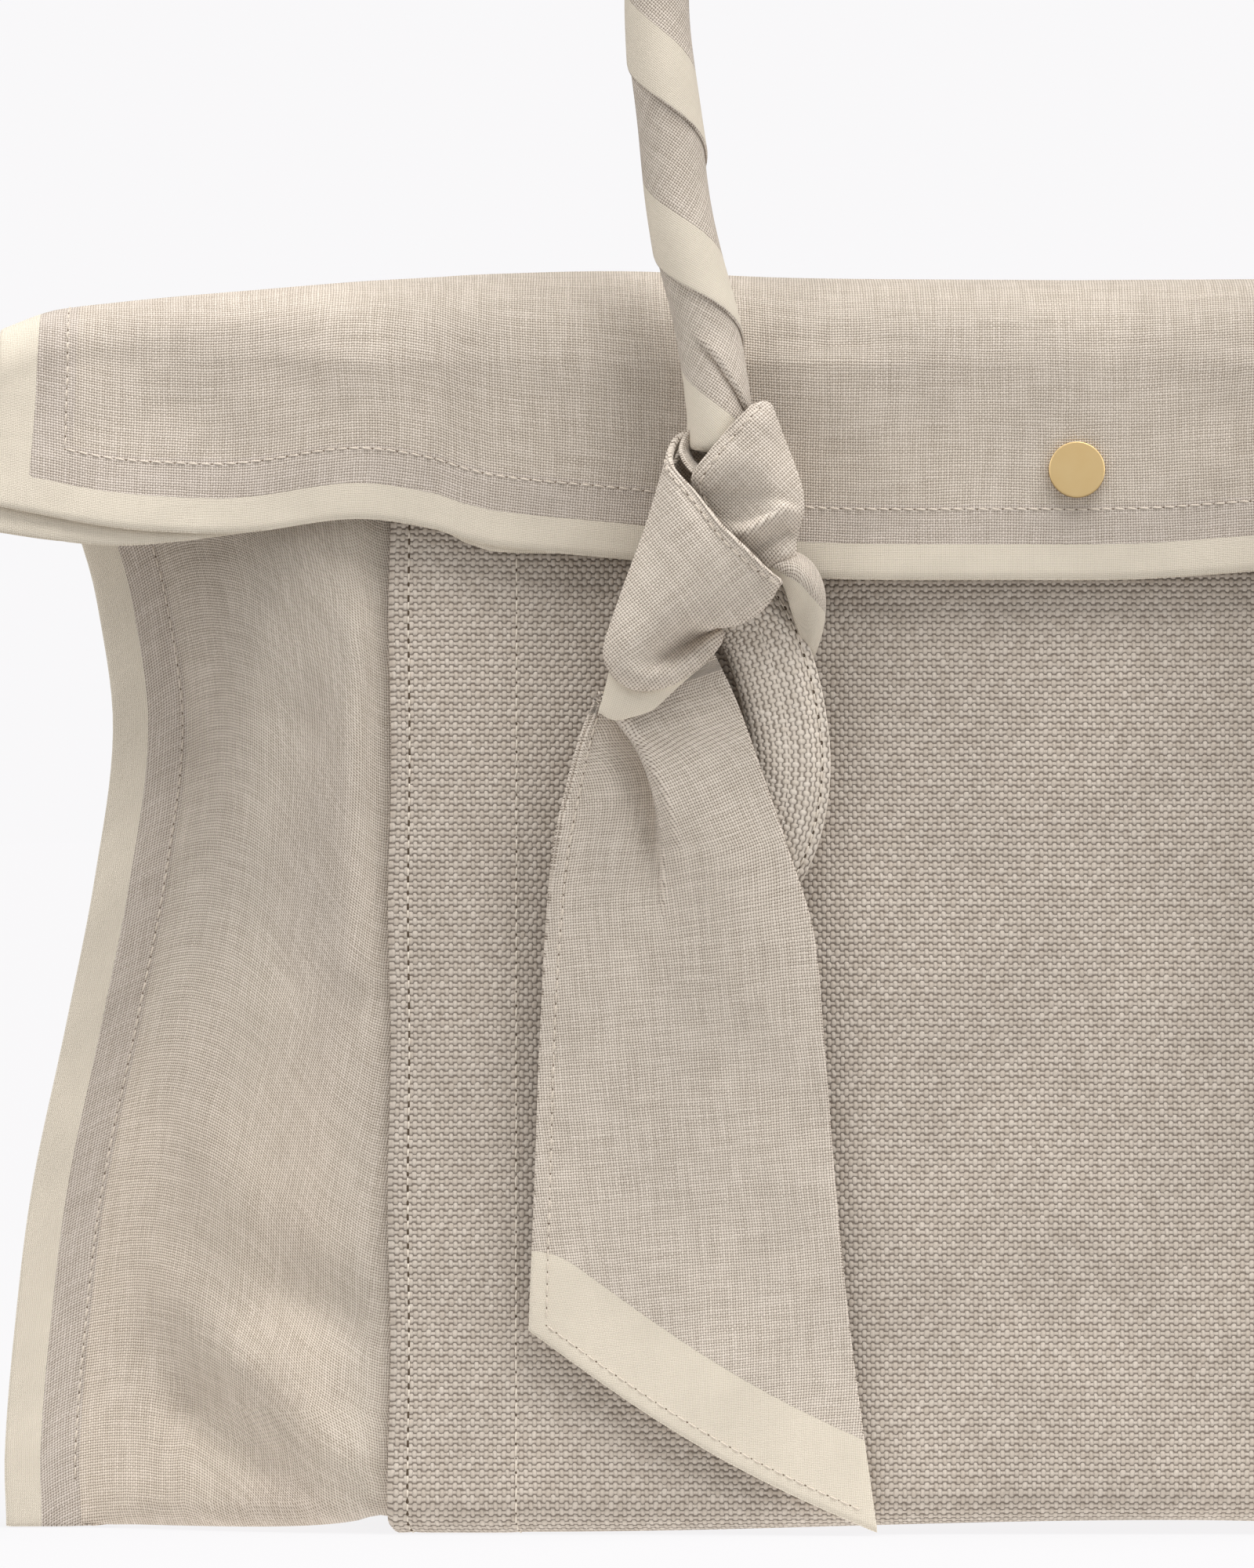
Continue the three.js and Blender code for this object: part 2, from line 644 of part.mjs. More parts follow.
function tailPlace(column, row) {
  const across = column / tailColumns;
  const at = row / tailRows;
  const read = (name) => readTable(tailEdges, "at", name, at);
  const x = THREE.MathUtils.lerp(read("leftX"), read("rightX"), across);
  const sag = tailEndSag * Math.sin(Math.PI * across) * at ** 3;
  const z = THREE.MathUtils.lerp(read("leftZ"), read("rightZ"), across) - sag;
  let y = read("y");
  for (const fold of tailFolds) {
    const distance = lineDistance(across, at, fold.across1, fold.at1, fold.across2, fold.at2);
    y += fold.depth * softBump(distance, fold.half);
  }
  return new THREE.Vector3(x, y, z);
}

function tailForm() {
  return clothSheet(tailColumns, tailRows, tailThickness, (i, j) => tailPlace(i, tailRows - j));
}

function scarfHandle() {
  const wrap = asSolid(knotWrap(frontWrap, 16)).subtract(asSolid(hollowCut()));
  const leftParts = [
    asSolid(knotWrap(upperWrap, 16)),
    wrap,
    asSolid(knotWrap(lipBorder, 14)),
    asSolid(sideWrapForm()),
    asSolid(tailForm()),
  ];
  let whole = asSolid(twistedHandle());
  for (const part of leftParts) {
    whole = whole.add(part);
    whole = whole.add(asSolid(mirrored(closedMesh(asGeometry(part)))));
  }
  return asGeometry(whole);
}

// Canvas loop: a folded tube with its sewn edges as a thin flange on the outside of the bend
function canvasLoop() {
  const section = (angle) => {
    const sideways = Math.cos(angle);
    const flange = THREE.MathUtils.smoothstep(sideways, 0.35, 0.7);
    const thin = THREE.MathUtils.lerp(1, 0.45, flange);
    const width = Math.sign(sideways) * Math.abs(sideways) ** 0.7 * loopWidth * 0.5;
    const depth = Math.sign(Math.sin(angle)) * Math.abs(Math.sin(angle)) ** 0.75 * loopThickness * 0.5;
    return [width, depth * thin];
  };
  const forwards = new THREE.Vector3(0, -1, 0);
  return tubeAlong(curveThrough(loopLine), 24, 10, section, (ahead) => ahead.clone().cross(forwards));
}

function madeOf(name, geometry, colour, roughness, metalness) {
  const material = new THREE.MeshStandardMaterial({ color: colour, roughness, metalness });
  const mesh = new THREE.Mesh(geometry, material);
  mesh.name = name;
  return mesh;
}

const bag = new THREE.Group();
bag.add(madeOf("canvas_body", canvasBody(), colours.canvas, 0.95, 0));
bag.add(madeOf("linen_front", sackCloth(frontRows(), -1), colours.linen, 0.92, 0));
bag.add(madeOf("linen_back", sackCloth(backRows(), 1), colours.linen, 0.92, 0));
bag.add(madeOf("scarf_handle", scarfHandle(), colours.scarf, 0.92, 0));

const leftLoop = canvasLoop();
bag.add(madeOf("canvas_loop_left", leftLoop, colours.canvas, 0.95, 0));
bag.add(madeOf("canvas_loop_right", mirrored(leftLoop), colours.canvas, 0.95, 0));

const studMesh = madeOf("press_stud", pressStud(), colours.gold, 0.3, 1);
const studFlap = flapPlace(0, studHeight, topFold(0, true), true) - linenThickness / 2;
studMesh.rotation.x = Math.PI + studTilt;
studMesh.position.set(0, studFlap - studGap, studHeight);
bag.add(studMesh);

// The origin is at the middle of the bag's own box, on the surface that it stands on
const box = new THREE.Box3().setFromObject(bag);
bag.position.y = -(box.min.y + box.max.y) / 2;

const root = new THREE.Group();
root.add(bag);

export default root;
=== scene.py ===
import math

import bmesh
import bpy
import numpy as np
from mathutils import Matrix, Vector, noise


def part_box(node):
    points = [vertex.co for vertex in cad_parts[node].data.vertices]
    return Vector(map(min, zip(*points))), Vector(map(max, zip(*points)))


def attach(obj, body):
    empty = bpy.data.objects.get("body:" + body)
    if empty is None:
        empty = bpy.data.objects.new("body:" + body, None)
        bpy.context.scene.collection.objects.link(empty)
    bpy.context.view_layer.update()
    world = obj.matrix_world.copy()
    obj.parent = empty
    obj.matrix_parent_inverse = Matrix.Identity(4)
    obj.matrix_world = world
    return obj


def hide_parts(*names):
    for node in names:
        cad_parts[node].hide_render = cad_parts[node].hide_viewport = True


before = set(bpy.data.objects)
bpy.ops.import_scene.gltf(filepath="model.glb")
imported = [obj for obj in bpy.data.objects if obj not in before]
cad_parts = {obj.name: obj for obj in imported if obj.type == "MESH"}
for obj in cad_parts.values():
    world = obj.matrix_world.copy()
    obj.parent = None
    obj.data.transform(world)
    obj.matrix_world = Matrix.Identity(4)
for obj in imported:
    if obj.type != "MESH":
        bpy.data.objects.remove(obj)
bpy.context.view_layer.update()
print("frame loaded")

# All sizes below are in millimetres, and the bag's own middle plane is y = 0
mm = 0.001
canvasLow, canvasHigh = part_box("canvas_body")
midPlane = (canvasLow.y + canvasHigh.y) / 2 / mm
bodyHalf = canvasHigh.x / mm

# Camera straight in front of the bag, as in the photo

cameraView = {
    "across": -119.6,   # middle of the picture
    "height": 199,
    "focusPlane": -32,  # the depth that the picture's height is measured at
    "distance": 2600,
    "pictureHeight": 416.7,
    "sensor": 36,
}


def addCamera():
    v = cameraView
    place = (v["across"] * mm, (midPlane + v["focusPlane"] - v["distance"]) * mm, v["height"] * mm)
    bpy.ops.object.camera_add(location=place, rotation=(math.radians(90), 0, 0))
    camera = bpy.context.object
    camera.data.sensor_width = v["sensor"]
    camera.data.lens = v["sensor"] * v["distance"] / v["pictureHeight"]
    camera.data.clip_end = 100
    bpy.context.scene.camera = camera


addCamera()
print("camera placed")


# Small helpers for shapes

def ease(x, low, high):
    t = np.clip((x - low) / (high - low), 0, 1)
    return t * t * (3 - 2 * t)


def blend(a, b, share):
    return a + (b - a) * share


def softBump(distance, half):
    return np.exp(-((distance / half) ** 2))


def unit(vectors):
    return vectors / np.maximum(np.linalg.norm(vectors, axis=-1, keepdims=True), 1e-9)


def hermite(t, step, first, last, firstSlope, lastSlope):
    # smooth curve between two values with their slopes
    rest = 1 - t
    start = first * (1 + 2 * t) * rest ** 2 + firstSlope * step * t * rest ** 2
    return start + last * t * t * (3 - 2 * t) - lastSlope * step * t * t * rest


def readTable(table, along, column, at):
    # smooth reading of one named column at places along another
    places, values = np.array(table[along], float), np.array(table[column], float)
    order = np.arange(len(places))
    ahead, behind = np.minimum(order + 1, order[-1]), np.maximum(order - 1, 0)
    slopes = (values[ahead] - values[behind]) / (places[ahead] - places[behind])
    at = np.clip(at, places[0], places[-1])
    i = np.clip(np.searchsorted(places, at, side="right") - 1, 0, len(places) - 2)
    step = places[i + 1] - places[i]
    return hermite((at - places[i]) / step, step, values[i], values[i + 1], slopes[i], slopes[i + 1])


def lineDistance(x, z, x1, z1, x2, z2):
    lengthSquared = (x2 - x1) ** 2 + (z2 - z1) ** 2
    t = np.clip(((x - x1) * (x2 - x1) + (z - z1) * (z2 - z1)) / lengthSquared, 0, 1)
    return np.hypot(x - x1 - t * (x2 - x1), z - z1 - t * (z2 - z1))


def sumBumps(table, x, z):
    total = np.zeros(np.broadcast(x, z).shape)
    for k in range(len(table["x"])):
        bump = softBump(x - table["x"][k], table["halfX"][k]) * softBump(z - table["z"][k], table["halfZ"][k])
        total = total + table["depth"][k] * bump
    return total


def denser(points, at):
    # points on one smooth curve through the first axis of an array of points, as many as
    # at says or at the places it lists
    points = np.asarray(points, float)
    slopes = np.gradient(points, axis=0)
    at = np.linspace(0, len(points) - 1, at) if np.isscalar(at) else np.asarray(at)
    i = np.minimum(at.astype(int), len(points) - 2)
    t = (at - i).reshape((-1,) + (1,) * (points.ndim - 1))
    return hermite(t, 1, points[i], points[i + 1], slopes[i], slopes[i + 1])


def lengthsAlong(points, axis=0):
    # running length in mm along a path, or along one axis of a grid of points
    steps = np.linalg.norm(np.diff(points, axis=axis), axis=-1)
    start = np.zeros_like(np.take(steps, [0], axis=axis))
    return np.concatenate([start, np.cumsum(steps, axis=axis)], axis=axis)


def readLine(at, lengths, values):
    # points or directions at lengths between those of a line
    return np.stack([np.interp(at, lengths, values[:, k]) for k in range(3)], axis=-1)


def gridNormals(grid):
    return unit(np.cross(np.gradient(grid, axis=1), np.gradient(grid, axis=0)))


def facing(grid, row, column, side=-1):
    # a grid's normals, turned so that the one at that place looks to that side along y
    normals = gridNormals(grid)
    return normals if normals[row, column, 1] * side > 0 else -normals


def gridQuads(rows, columns):
    # the numbers of a grid's points, and its faces
    numbers = np.arange(rows * columns).reshape(rows, columns)
    corners = [numbers[:-1, :-1], numbers[:-1, 1:], numbers[1:, 1:], numbers[1:, :-1]]
    return numbers, np.stack([corner.ravel() for corner in corners], axis=1)


def selectNothing():
    bpy.ops.object.select_all(action="DESELECT")


def addMesh(name, points, faces, flat=None, border=None, smoothAngle=60):
    # points in mm in the bag's own frame; flat are the cloth's flat coordinates in mm
    mesh = bpy.data.meshes.new(name)
    places = (np.asarray(points, float) + (0, midPlane, 0)) * mm
    mesh.from_pydata(places.tolist(), [], [tuple(face) for face in faces])
    if flat is not None:
        corners = np.empty(len(mesh.loops), int)
        mesh.loops.foreach_get("vertex_index", corners)
        layer = mesh.uv_layers.new(name="flat")
        layer.data.foreach_set("uv", (np.asarray(flat)[corners] * mm).astype(np.float32).ravel())
    if border is not None:
        attribute = mesh.attributes.new("border", "FLOAT", "POINT")
        attribute.data.foreach_set("value", np.asarray(border, np.float32))
    piece = bpy.data.objects.new(name, mesh)
    bpy.context.scene.collection.objects.link(piece)
    edit = bmesh.new()
    edit.from_mesh(mesh)
    bmesh.ops.remove_doubles(edit, verts=edit.verts, dist=1e-7)
    bmesh.ops.recalc_face_normals(edit, faces=edit.faces)
    edit.to_mesh(mesh)
    edit.free()
    selectNothing()
    piece.select_set(True)
    bpy.context.view_layer.objects.active = piece
    bpy.ops.object.shade_smooth_by_angle(angle=math.radians(smoothAngle))
    return piece


rimShape = {"rise": 0.72, "reach": 0.6}     # shares of the cloth's half thickness at its rim


def sheetParts(grid, thickness, flat, border):
    # a closed sheet of cloth round a grid of middle points, with a rounded rim
    rows, columns = grid.shape[:2]
    half = np.broadcast_to(np.asarray(thickness, float) / 2, (rows, columns))
    rim = [(0, j) for j in range(columns)] + [(i, columns - 1) for i in range(1, rows)]
    rim += [(rows - 1, j) for j in range(columns - 2, -1, -1)] + [(i, 0) for i in range(rows - 2, 0, -1)]
    atRim = tuple(np.array(rim).T)
    across, along = np.gradient(grid, axis=1), np.gradient(grid, axis=0)
    outward = np.zeros_like(grid)
    outward[:, 0] -= across[:, 0]
    outward[:, -1] += across[:, -1]
    outward[0] -= along[0]
    outward[-1] += along[-1]
    raised = half.copy()
    raised[atRim] = half[atRim] * rimShape["rise"]
    lift = gridNormals(grid) * raised[..., None]
    edge = grid[atRim] + unit(outward[atRim]) * half[atRim][:, None] * rimShape["reach"]
    points = np.concatenate([(grid + lift).reshape(-1, 3), (grid - lift).reshape(-1, 3), edge])
    numbers, quads = gridQuads(rows, columns)
    total = rows * columns
    a = numbers[atRim]
    b = np.roll(a, -1)
    r = 2 * total + np.arange(len(rim))
    s = np.roll(r, -1)
    faces = [quads, total + quads[:, ::-1], np.stack([b, a, r, s], axis=1)]
    faces.append(np.stack([s, r, total + a, total + b], axis=1))
    flats = np.concatenate([flat.reshape(-1, 2), flat.reshape(-1, 2), flat[atRim]])
    borders = np.concatenate([border.ravel(), border.ravel(), border[atRim]])
    return points, np.concatenate(faces).tolist(), flats, borders


def joinParts(parts):
    # several lots of (points, faces, flat, border) as one
    faces, start = [], 0
    for part in parts:
        faces += [[start + k for k in face] for face in part[1]]
        start += len(part[0])
    points, flat, border = (np.concatenate([part[k] for part in parts]) for k in (0, 2, 3))
    return points, faces, flat, border


def addCloth(name, parts, finish, nodeNames, mirror=False):
    # a cloth piece in place of its CAD nodes; mirror puts it on the right side
    if mirror:
        points, faces, flat, border = parts
        parts = points * (-1, 1, 1), [list(reversed(face)) for face in faces], flat * (-1, 1), border
    piece = addMesh(name, *parts)
    piece.data.materials.append(materials[finish])
    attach(piece, "root")
    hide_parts(*nodeNames)
    return piece


# Materials

def feed(tree, node, inputs):
    # links the inputs that are given a socket, and sets the others
    for key, value in inputs.items():
        if isinstance(value, bpy.types.NodeSocket):
            tree.links.new(value, node.inputs[key])
        else:
            node.inputs[key].default_value = value
    return node


def addNode(tree, kind, inputs=None, **settings):
    made = tree.nodes.new(kind)
    for key, value in settings.items():
        setattr(made, key, value)
    return feed(tree, made, inputs or {})


def calc(tree, operation, a, b=0.0, c=0.0):
    return addNode(tree, "ShaderNodeMath", {0: a, 1: b, 2: c}, operation=operation).outputs[0]


def times(tree, a, b):
    return calc(tree, "MULTIPLY", a, b)


def minus(tree, a, b):
    return calc(tree, "SUBTRACT", a, b)


def remap(tree, value, low, high, newLow=0.0, newHigh=1.0):
    inputs = {"Value": value, "From Min": low, "From Max": high, "To Min": newLow, "To Max": newHigh}
    return addNode(tree, "ShaderNodeMapRange", inputs, interpolation_type="SMOOTHSTEP").outputs["Result"]


def mixColour(tree, factor, a, b, mode="MIX"):
    inputs = {0: factor, 6: a, 7: b}
    return addNode(tree, "ShaderNodeMix", inputs, data_type="RGBA", blend_type=mode).outputs[2]


def noiseAt(tree, place, scale, detail=2.0):
    inputs = {"Vector": place, "Scale": scale, "Detail": detail}
    return addNode(tree, "ShaderNodeTexNoise", inputs).outputs["Fac"]


def objectPlace(tree):
    return addNode(tree, "ShaderNodeTexCoord").outputs["Object"]


def bumped(tree, height, distance, strength=1.0):
    inputs = {"Height": height, "Strength": strength, "Distance": distance}
    return addNode(tree, "ShaderNodeBump", inputs).outputs[0]


def newMaterial(name):
    material = bpy.data.materials.new(name)
    material.use_nodes = True
    return material, material.node_tree, material.node_tree.nodes["Principled BSDF"]


def newGroup(name, values, outputs):
    # a group that reads the cloth's flat coordinates and some named values
    tree = bpy.data.node_groups.new(name, "ShaderNodeTree")
    tree.interface.new_socket(name="Flat", in_out="INPUT", socket_type="NodeSocketVector")
    for label, value in values.items():
        socket = tree.interface.new_socket(name=label, in_out="INPUT", socket_type="NodeSocketFloat")
        socket.default_value = value
    for label in outputs:
        tree.interface.new_socket(name=label, in_out="OUTPUT", socket_type="NodeSocketFloat")
    return tree, tree.nodes.new("NodeGroupInput").outputs, tree.nodes.new("NodeGroupOutput")


def wobbled(tree, flat, amount, scale):
    # the flat coordinates, moved about a little so that no thread runs dead straight
    texture = addNode(tree, "ShaderNodeTexNoise", {"Vector": flat, "Scale": scale, "Detail": 2.0})
    centred = addNode(tree, "ShaderNodeVectorMath", {0: texture.outputs["Color"], 1: (0.5, 0.5, 0.5)},
                      operation="SUBTRACT").outputs[0]
    shift = addNode(tree, "ShaderNodeVectorMath", {0: centred, "Scale": amount}, operation="SCALE").outputs[0]
    return addNode(tree, "ShaderNodeVectorMath", {0: flat, 1: shift}, operation="ADD").outputs[0]


def threadCounts(tree, flat, given):
    # how many threads across and along a place lies
    split = addNode(tree, "ShaderNodeSeparateXYZ", {0: flat}).outputs
    return calc(tree, "DIVIDE", split[0], given["Across"]), calc(tree, "DIVIDE", split[1], given["Along"])


def threadTone(tree, index, along, seed):
    # slow change of tone along one thread, different for each thread
    place = addNode(tree, "ShaderNodeCombineXYZ", {0: times(tree, index, 5.37), 1: along, 2: seed})
    return noiseAt(tree, place.outputs[0], 1.0, 1.0)


plainWeave = {
    "wobbleScales": (22.0, 430.0),      # slow and fine
    "fineWobble": 0.00028,      # in metres
    "toneRun": 0.05,            # how fast the tone changes along a thread
    "width": (0.26, 0.3),       # a thread's half width: what its tone adds, and the least
    "lift": (0.42, 0.58),       # its swing over and under, and its middle height
}
beadWeave = {
    "wobbleScales": (30.0, 300.0),
    "fineWobble": 0.55,         # share of the slow one
    "stray": (0.1, 0.16),       # of a bead across, and along and in its lean
    "width": (0.08, 0.28),      # a bead's half width: what chance adds, and the least
    "length": 0.62,
    "squareness": 2.4,
    "weft": 0.3,                # height and half width of the weft between the beads
    "gap": (-0.15, 0.34),       # heights between which a gap turns dark
    "fuzz": (1300.0, 0.2),      # scale and height of the loose fibres
}


def makePlainWeave():
    # over and under threads of fine linen
    c = plainWeave
    tree, given, out = newGroup("plainWeave", {"Across": 0.0007, "Along": 0.0007, "Wobble": 0.0012},
                                ["Height", "Tone"])
    flat = wobbled(tree, given["Flat"], given["Wobble"], c["wobbleScales"][0])
    u, v = threadCounts(tree, wobbled(tree, flat, c["fineWobble"], c["wobbleScales"][1]), given)
    column, row = calc(tree, "FLOOR", u), calc(tree, "FLOOR", v)
    warpTone = threadTone(tree, column, times(tree, v, c["toneRun"]), 0.0)
    weftTone = threadTone(tree, row, times(tree, u, c["toneRun"]), 9.0)

    def thread(place, index, other, tone, sign):
        width = calc(tree, "MULTIPLY_ADD", tone, *c["width"])
        share = calc(tree, "DIVIDE", minus(tree, minus(tree, place, index), 0.5), width)
        roundness = minus(tree, 1.0, times(tree, share, share))
        profile = calc(tree, "POWER", calc(tree, "MAXIMUM", roundness, 0.0), 0.5)
        angle = times(tree, minus(tree, minus(tree, other, 0.5), index), math.pi)
        swing, middle = c["lift"]
        lift = calc(tree, "MULTIPLY_ADD", calc(tree, "COSINE", angle), swing * sign, middle)
        return times(tree, profile, lift)

    warp = thread(u, column, v, warpTone, 1)
    weft = thread(v, row, u, weftTone, -1)
    onTop = calc(tree, "GREATER_THAN", weft, warp)
    tone = addNode(tree, "ShaderNodeMix", {0: onTop, 2: warpTone, 3: weftTone}).outputs[0]
    feed(tree, out, {"Height": calc(tree, "MAXIMUM", warp, weft), "Tone": tone})
    return tree


def makeBeadWeave():
    # plump warp beads of a heavy plain weave, each row half a bead on, with the weft between them
    c = beadWeave
    strayAcross, strayAlong = c["stray"]
    tree, given, out = newGroup("beadWeave", {"Across": 0.0023, "Along": 0.0017, "Wobble": 0.0008},
                                ["Height", "Tone", "Gap"])
    flat = wobbled(tree, given["Flat"], given["Wobble"], c["wobbleScales"][0])
    flat = wobbled(tree, flat, times(tree, given["Wobble"], c["fineWobble"]), c["wobbleScales"][1])
    u, v = threadCounts(tree, flat, given)

    def spread(value, width):
        # a random number from 0 to 1, spread evenly about 0
        return calc(tree, "MULTIPLY_ADD", value, width, -width / 2)

    def reach(distance, half):
        share = calc(tree, "DIVIDE", calc(tree, "ABSOLUTE", distance), half)
        return calc(tree, "POWER", share, c["squareness"])

    def bead(row):
        place = calc(tree, "ADD", u, times(tree, calc(tree, "FLOORED_MODULO", row, 2.0), 0.5))
        centre = calc(tree, "ROUND", place)
        cell = addNode(tree, "ShaderNodeCombineXYZ", {0: centre, 1: row}).outputs[0]
        random = addNode(tree, "ShaderNodeTexWhiteNoise", {"Vector": cell}).outputs["Color"]
        own = addNode(tree, "ShaderNodeSeparateColor", {0: random}).outputs
        along = calc(tree, "ADD", minus(tree, v, row), spread(own[1], strayAlong))
        lean = times(tree, along, spread(own[2], strayAlong))
        across = calc(tree, "ADD", minus(tree, place, centre), lean)
        across = calc(tree, "ADD", across, spread(own[0], strayAcross))
        width = calc(tree, "MULTIPLY_ADD", own[2], *c["width"])
        away = calc(tree, "ADD", reach(across, width), reach(along, c["length"]))
        return minus(tree, 1.0, away), own[1]

    near = calc(tree, "ROUND", v)
    beside = minus(tree, v, near)
    first, firstTone = bead(near)
    second, secondTone = bead(calc(tree, "ADD", near, calc(tree, "SIGN", beside)))
    bar = calc(tree, "DIVIDE", beside, c["weft"])
    bar = calc(tree, "MULTIPLY_ADD", times(tree, bar, bar), -c["weft"], c["weft"])
    inside = calc(tree, "MAXIMUM", calc(tree, "MAXIMUM", first, second), bar)
    onTop = calc(tree, "GREATER_THAN", second, first)
    tone = addNode(tree, "ShaderNodeMix", {0: onTop, 2: firstTone, 3: secondTone}).outputs[0]
    fibres = addNode(tree, "ShaderNodeMapping",
                     {"Vector": flat, "Rotation": (0, 0, 0.9), "Scale": (1, 3.5, 1)}).outputs[0]
    fuzzScale, fuzzHeight = c["fuzz"]
    fuzz = minus(tree, noiseAt(tree, fibres, fuzzScale), 0.5)
    height = calc(tree, "POWER", calc(tree, "MAXIMUM", inside, 0.0), 0.5)
    height = calc(tree, "MULTIPLY_ADD", fuzz, fuzzHeight, height)
    feed(tree, out, {"Height": height, "Tone": tone, "Gap": remap(tree, inside, *c["gap"], 1.0, 0.0)})
    return tree


def makeMottle():
    # slow change of shade over a cloth
    tree, given, out = newGroup("clothMottle", {"Scale": 24.0, "Darkest": 0.94, "Lightest": 1.05}, ["Shade"])
    slow = noiseAt(tree, given["Flat"], given["Scale"], 3.0)
    feed(tree, out, {"Shade": remap(tree, slow, 0.3, 0.7, given["Darkest"], given["Lightest"])})
    return tree


groups = {"plain": makePlainWeave(), "bead": makeBeadWeave(), "mottle": makeMottle()}

linenLook = {
    "across": 0.0007, "along": 0.00074, "wobble": 0.0028,
    "light": (0.78, 0.692, 0.6, 1), "dark": (0.22, 0.165, 0.12, 1), "thread": (0.7, 0.614, 0.52, 1),
    "cream": (0.8, 0.725, 0.61, 1), "creamDark": (0.6, 0.52, 0.41, 1),
    "fine": (0.72, 0.62, 0.0006),       # the cream's threads against the greige ones, and their wobble
    # tints of painted shade on the hem and of painted light on the wings; none on plain linen
    "hem": (1, 1, 1, 1), "paintedGlow": (1, 1, 1, 1),
    "mottle": (24.0, 0.94, 1.05), "rough": (0.98, 0.86), "sheen": 0.12, "specular": 0.25,
    "bump": 0.00026,
}
# The sack's hem is double and painted darker and cooler as shade, and its single wings get painted light for
# the light that comes through them
sackLook = dict(linenLook, hem=(0.95, 0.95, 0.97, 1), paintedGlow=(1.09, 1.07, 1.05, 1),
                light=(0.75, 0.665, 0.577, 1), thread=(0.66, 0.58, 0.49, 1), dark=(0.25, 0.19, 0.143, 1))
# The scarf's greige has more contrast
scarfLook = dict(linenLook, light=(0.79, 0.703, 0.615, 1), thread=(0.69, 0.608, 0.52, 1),
                 dark=(0.2, 0.152, 0.112, 1))
hemWidth = 10.6         # in mm, from the cream border to just past the sewn line
paintedWingLight = {"from": 0.186, "fade": 0.02, "low": 0.085, "high": 0.17}     # painted light on the lower wings, in metres out and up

canvasLook = {
    "across": 0.00236, "along": 0.00168, "wobble": 0.0008,
    "light": (0.68, 0.603, 0.523, 1), "yarn": (0.565, 0.49, 0.415, 1), "dark": (0.145, 0.11, 0.085, 1),
    "mottle": (18.0, 0.93, 1.06), "rough": (1.0, 0.88), "sheen": 0.1, "specular": 0.2,
    "bump": 0.0006,
}
# A lighter copy of the canvas for the loops: painted light that lifts them out of the shade of the knots
loopPaintedLightLook = dict(canvasLook, light=(0.85, 0.765, 0.67, 1), yarn=(0.745, 0.66, 0.565, 1),
                dark=(0.2, 0.155, 0.117, 1))


def addWeave(tree, kind, flat, across, along, wobble):
    values = {"Flat": flat, "Across": across, "Along": along, "Wobble": wobble}
    return addNode(tree, "ShaderNodeGroup", values, node_tree=groups[kind]).outputs


def mottled(tree, flat, look, colour):
    scale, darkest, lightest = look["mottle"]
    values = {"Flat": flat, "Scale": scale, "Darkest": darkest, "Lightest": lightest}
    shade = addNode(tree, "ShaderNodeGroup", values, node_tree=groups["mottle"]).outputs[0]
    tint = addNode(tree, "ShaderNodeCombineColor", {0: shade, 1: shade, 2: shade}).outputs[0]
    return mixColour(tree, 1.0, colour, tint, "MULTIPLY")


def tinted(tree, where, colour, tint):
    return mixColour(tree, where, colour, mixColour(tree, 1.0, colour, tint, "MULTIPLY"))


def finishCloth(tree, surface, look, colour, weaveHeight, height):
    rough = remap(tree, weaveHeight, 0.0, 1.0, *look["rough"])
    feed(tree, surface, {"Base Color": colour, "Roughness": rough, "Sheen Weight": look["sheen"],
                         "Sheen Roughness": 0.6, "Specular IOR Level": look["specular"],
                         "Normal": bumped(tree, height, look["bump"])})


def makeLinen(name, look):
    # fine plain linen, greige with a cream border where the piece's own border value is above 0
    material, tree, surface = newMaterial(name)
    flat = addNode(tree, "ShaderNodeUVMap", uv_map="flat").outputs[0]
    weave = addWeave(tree, "plain", flat, look["across"], look["along"], look["wobble"])
    fineAcross, fineAlong, fineWobble = look["fine"]
    fine = addWeave(tree, "plain", flat, look["across"] * fineAcross, look["along"] * fineAlong, fineWobble)
    border = addNode(tree, "ShaderNodeAttribute", attribute_name="border").outputs["Fac"]
    edge = calc(tree, "MULTIPLY_ADD", noiseAt(tree, flat, 900.0), 0.5, minus(tree, border, 0.25))
    isCream = remap(tree, edge, -0.06, 0.06)
    yarn = mixColour(tree, remap(tree, weave["Tone"], 0.3, 0.7), look["thread"], look["light"])
    greige = mixColour(tree, remap(tree, weave["Height"], 0.12, 0.75), look["dark"], yarn)
    cream = mixColour(tree, remap(tree, fine["Height"], 0.1, 0.8), look["creamDark"], look["cream"])
    colour = mottled(tree, flat, look, mixColour(tree, isCream, greige, cream))
    # Painted shade: the hem's double cloth is tinted darker and cooler, as less light comes through it; the
    # double layer itself is real
    inHem = remap(tree, border, -hemWidth - 0.3, -hemWidth + 0.3)
    colour = tinted(tree, times(tree, inHem, minus(tree, 1.0, isCream)), colour, look["hem"])
    # Painted light: the single cloth of the lower wings is lightened, as if lit through from behind, fading
    # out up the wing
    place = addNode(tree, "ShaderNodeSeparateXYZ", {0: objectPlace(tree)}).outputs
    start = paintedWingLight["from"]
    paintedLightShare = remap(tree, calc(tree, "ABSOLUTE", place[0]), start, start + paintedWingLight["fade"])
    paintedLightShare = times(tree, paintedLightShare, remap(tree, place[2], paintedWingLight["low"], paintedWingLight["high"], 1.0, 0.0))
    colour = tinted(tree, times(tree, paintedLightShare, minus(tree, 1.0, inHem)), colour, look["paintedGlow"])
    creamHeight = times(tree, fine["Height"], 0.45)
    height = addNode(tree, "ShaderNodeMix", {0: isCream, 2: weave["Height"], 3: creamHeight}).outputs[0]
    finishCloth(tree, surface, look, colour, weave["Height"], height)
    return material


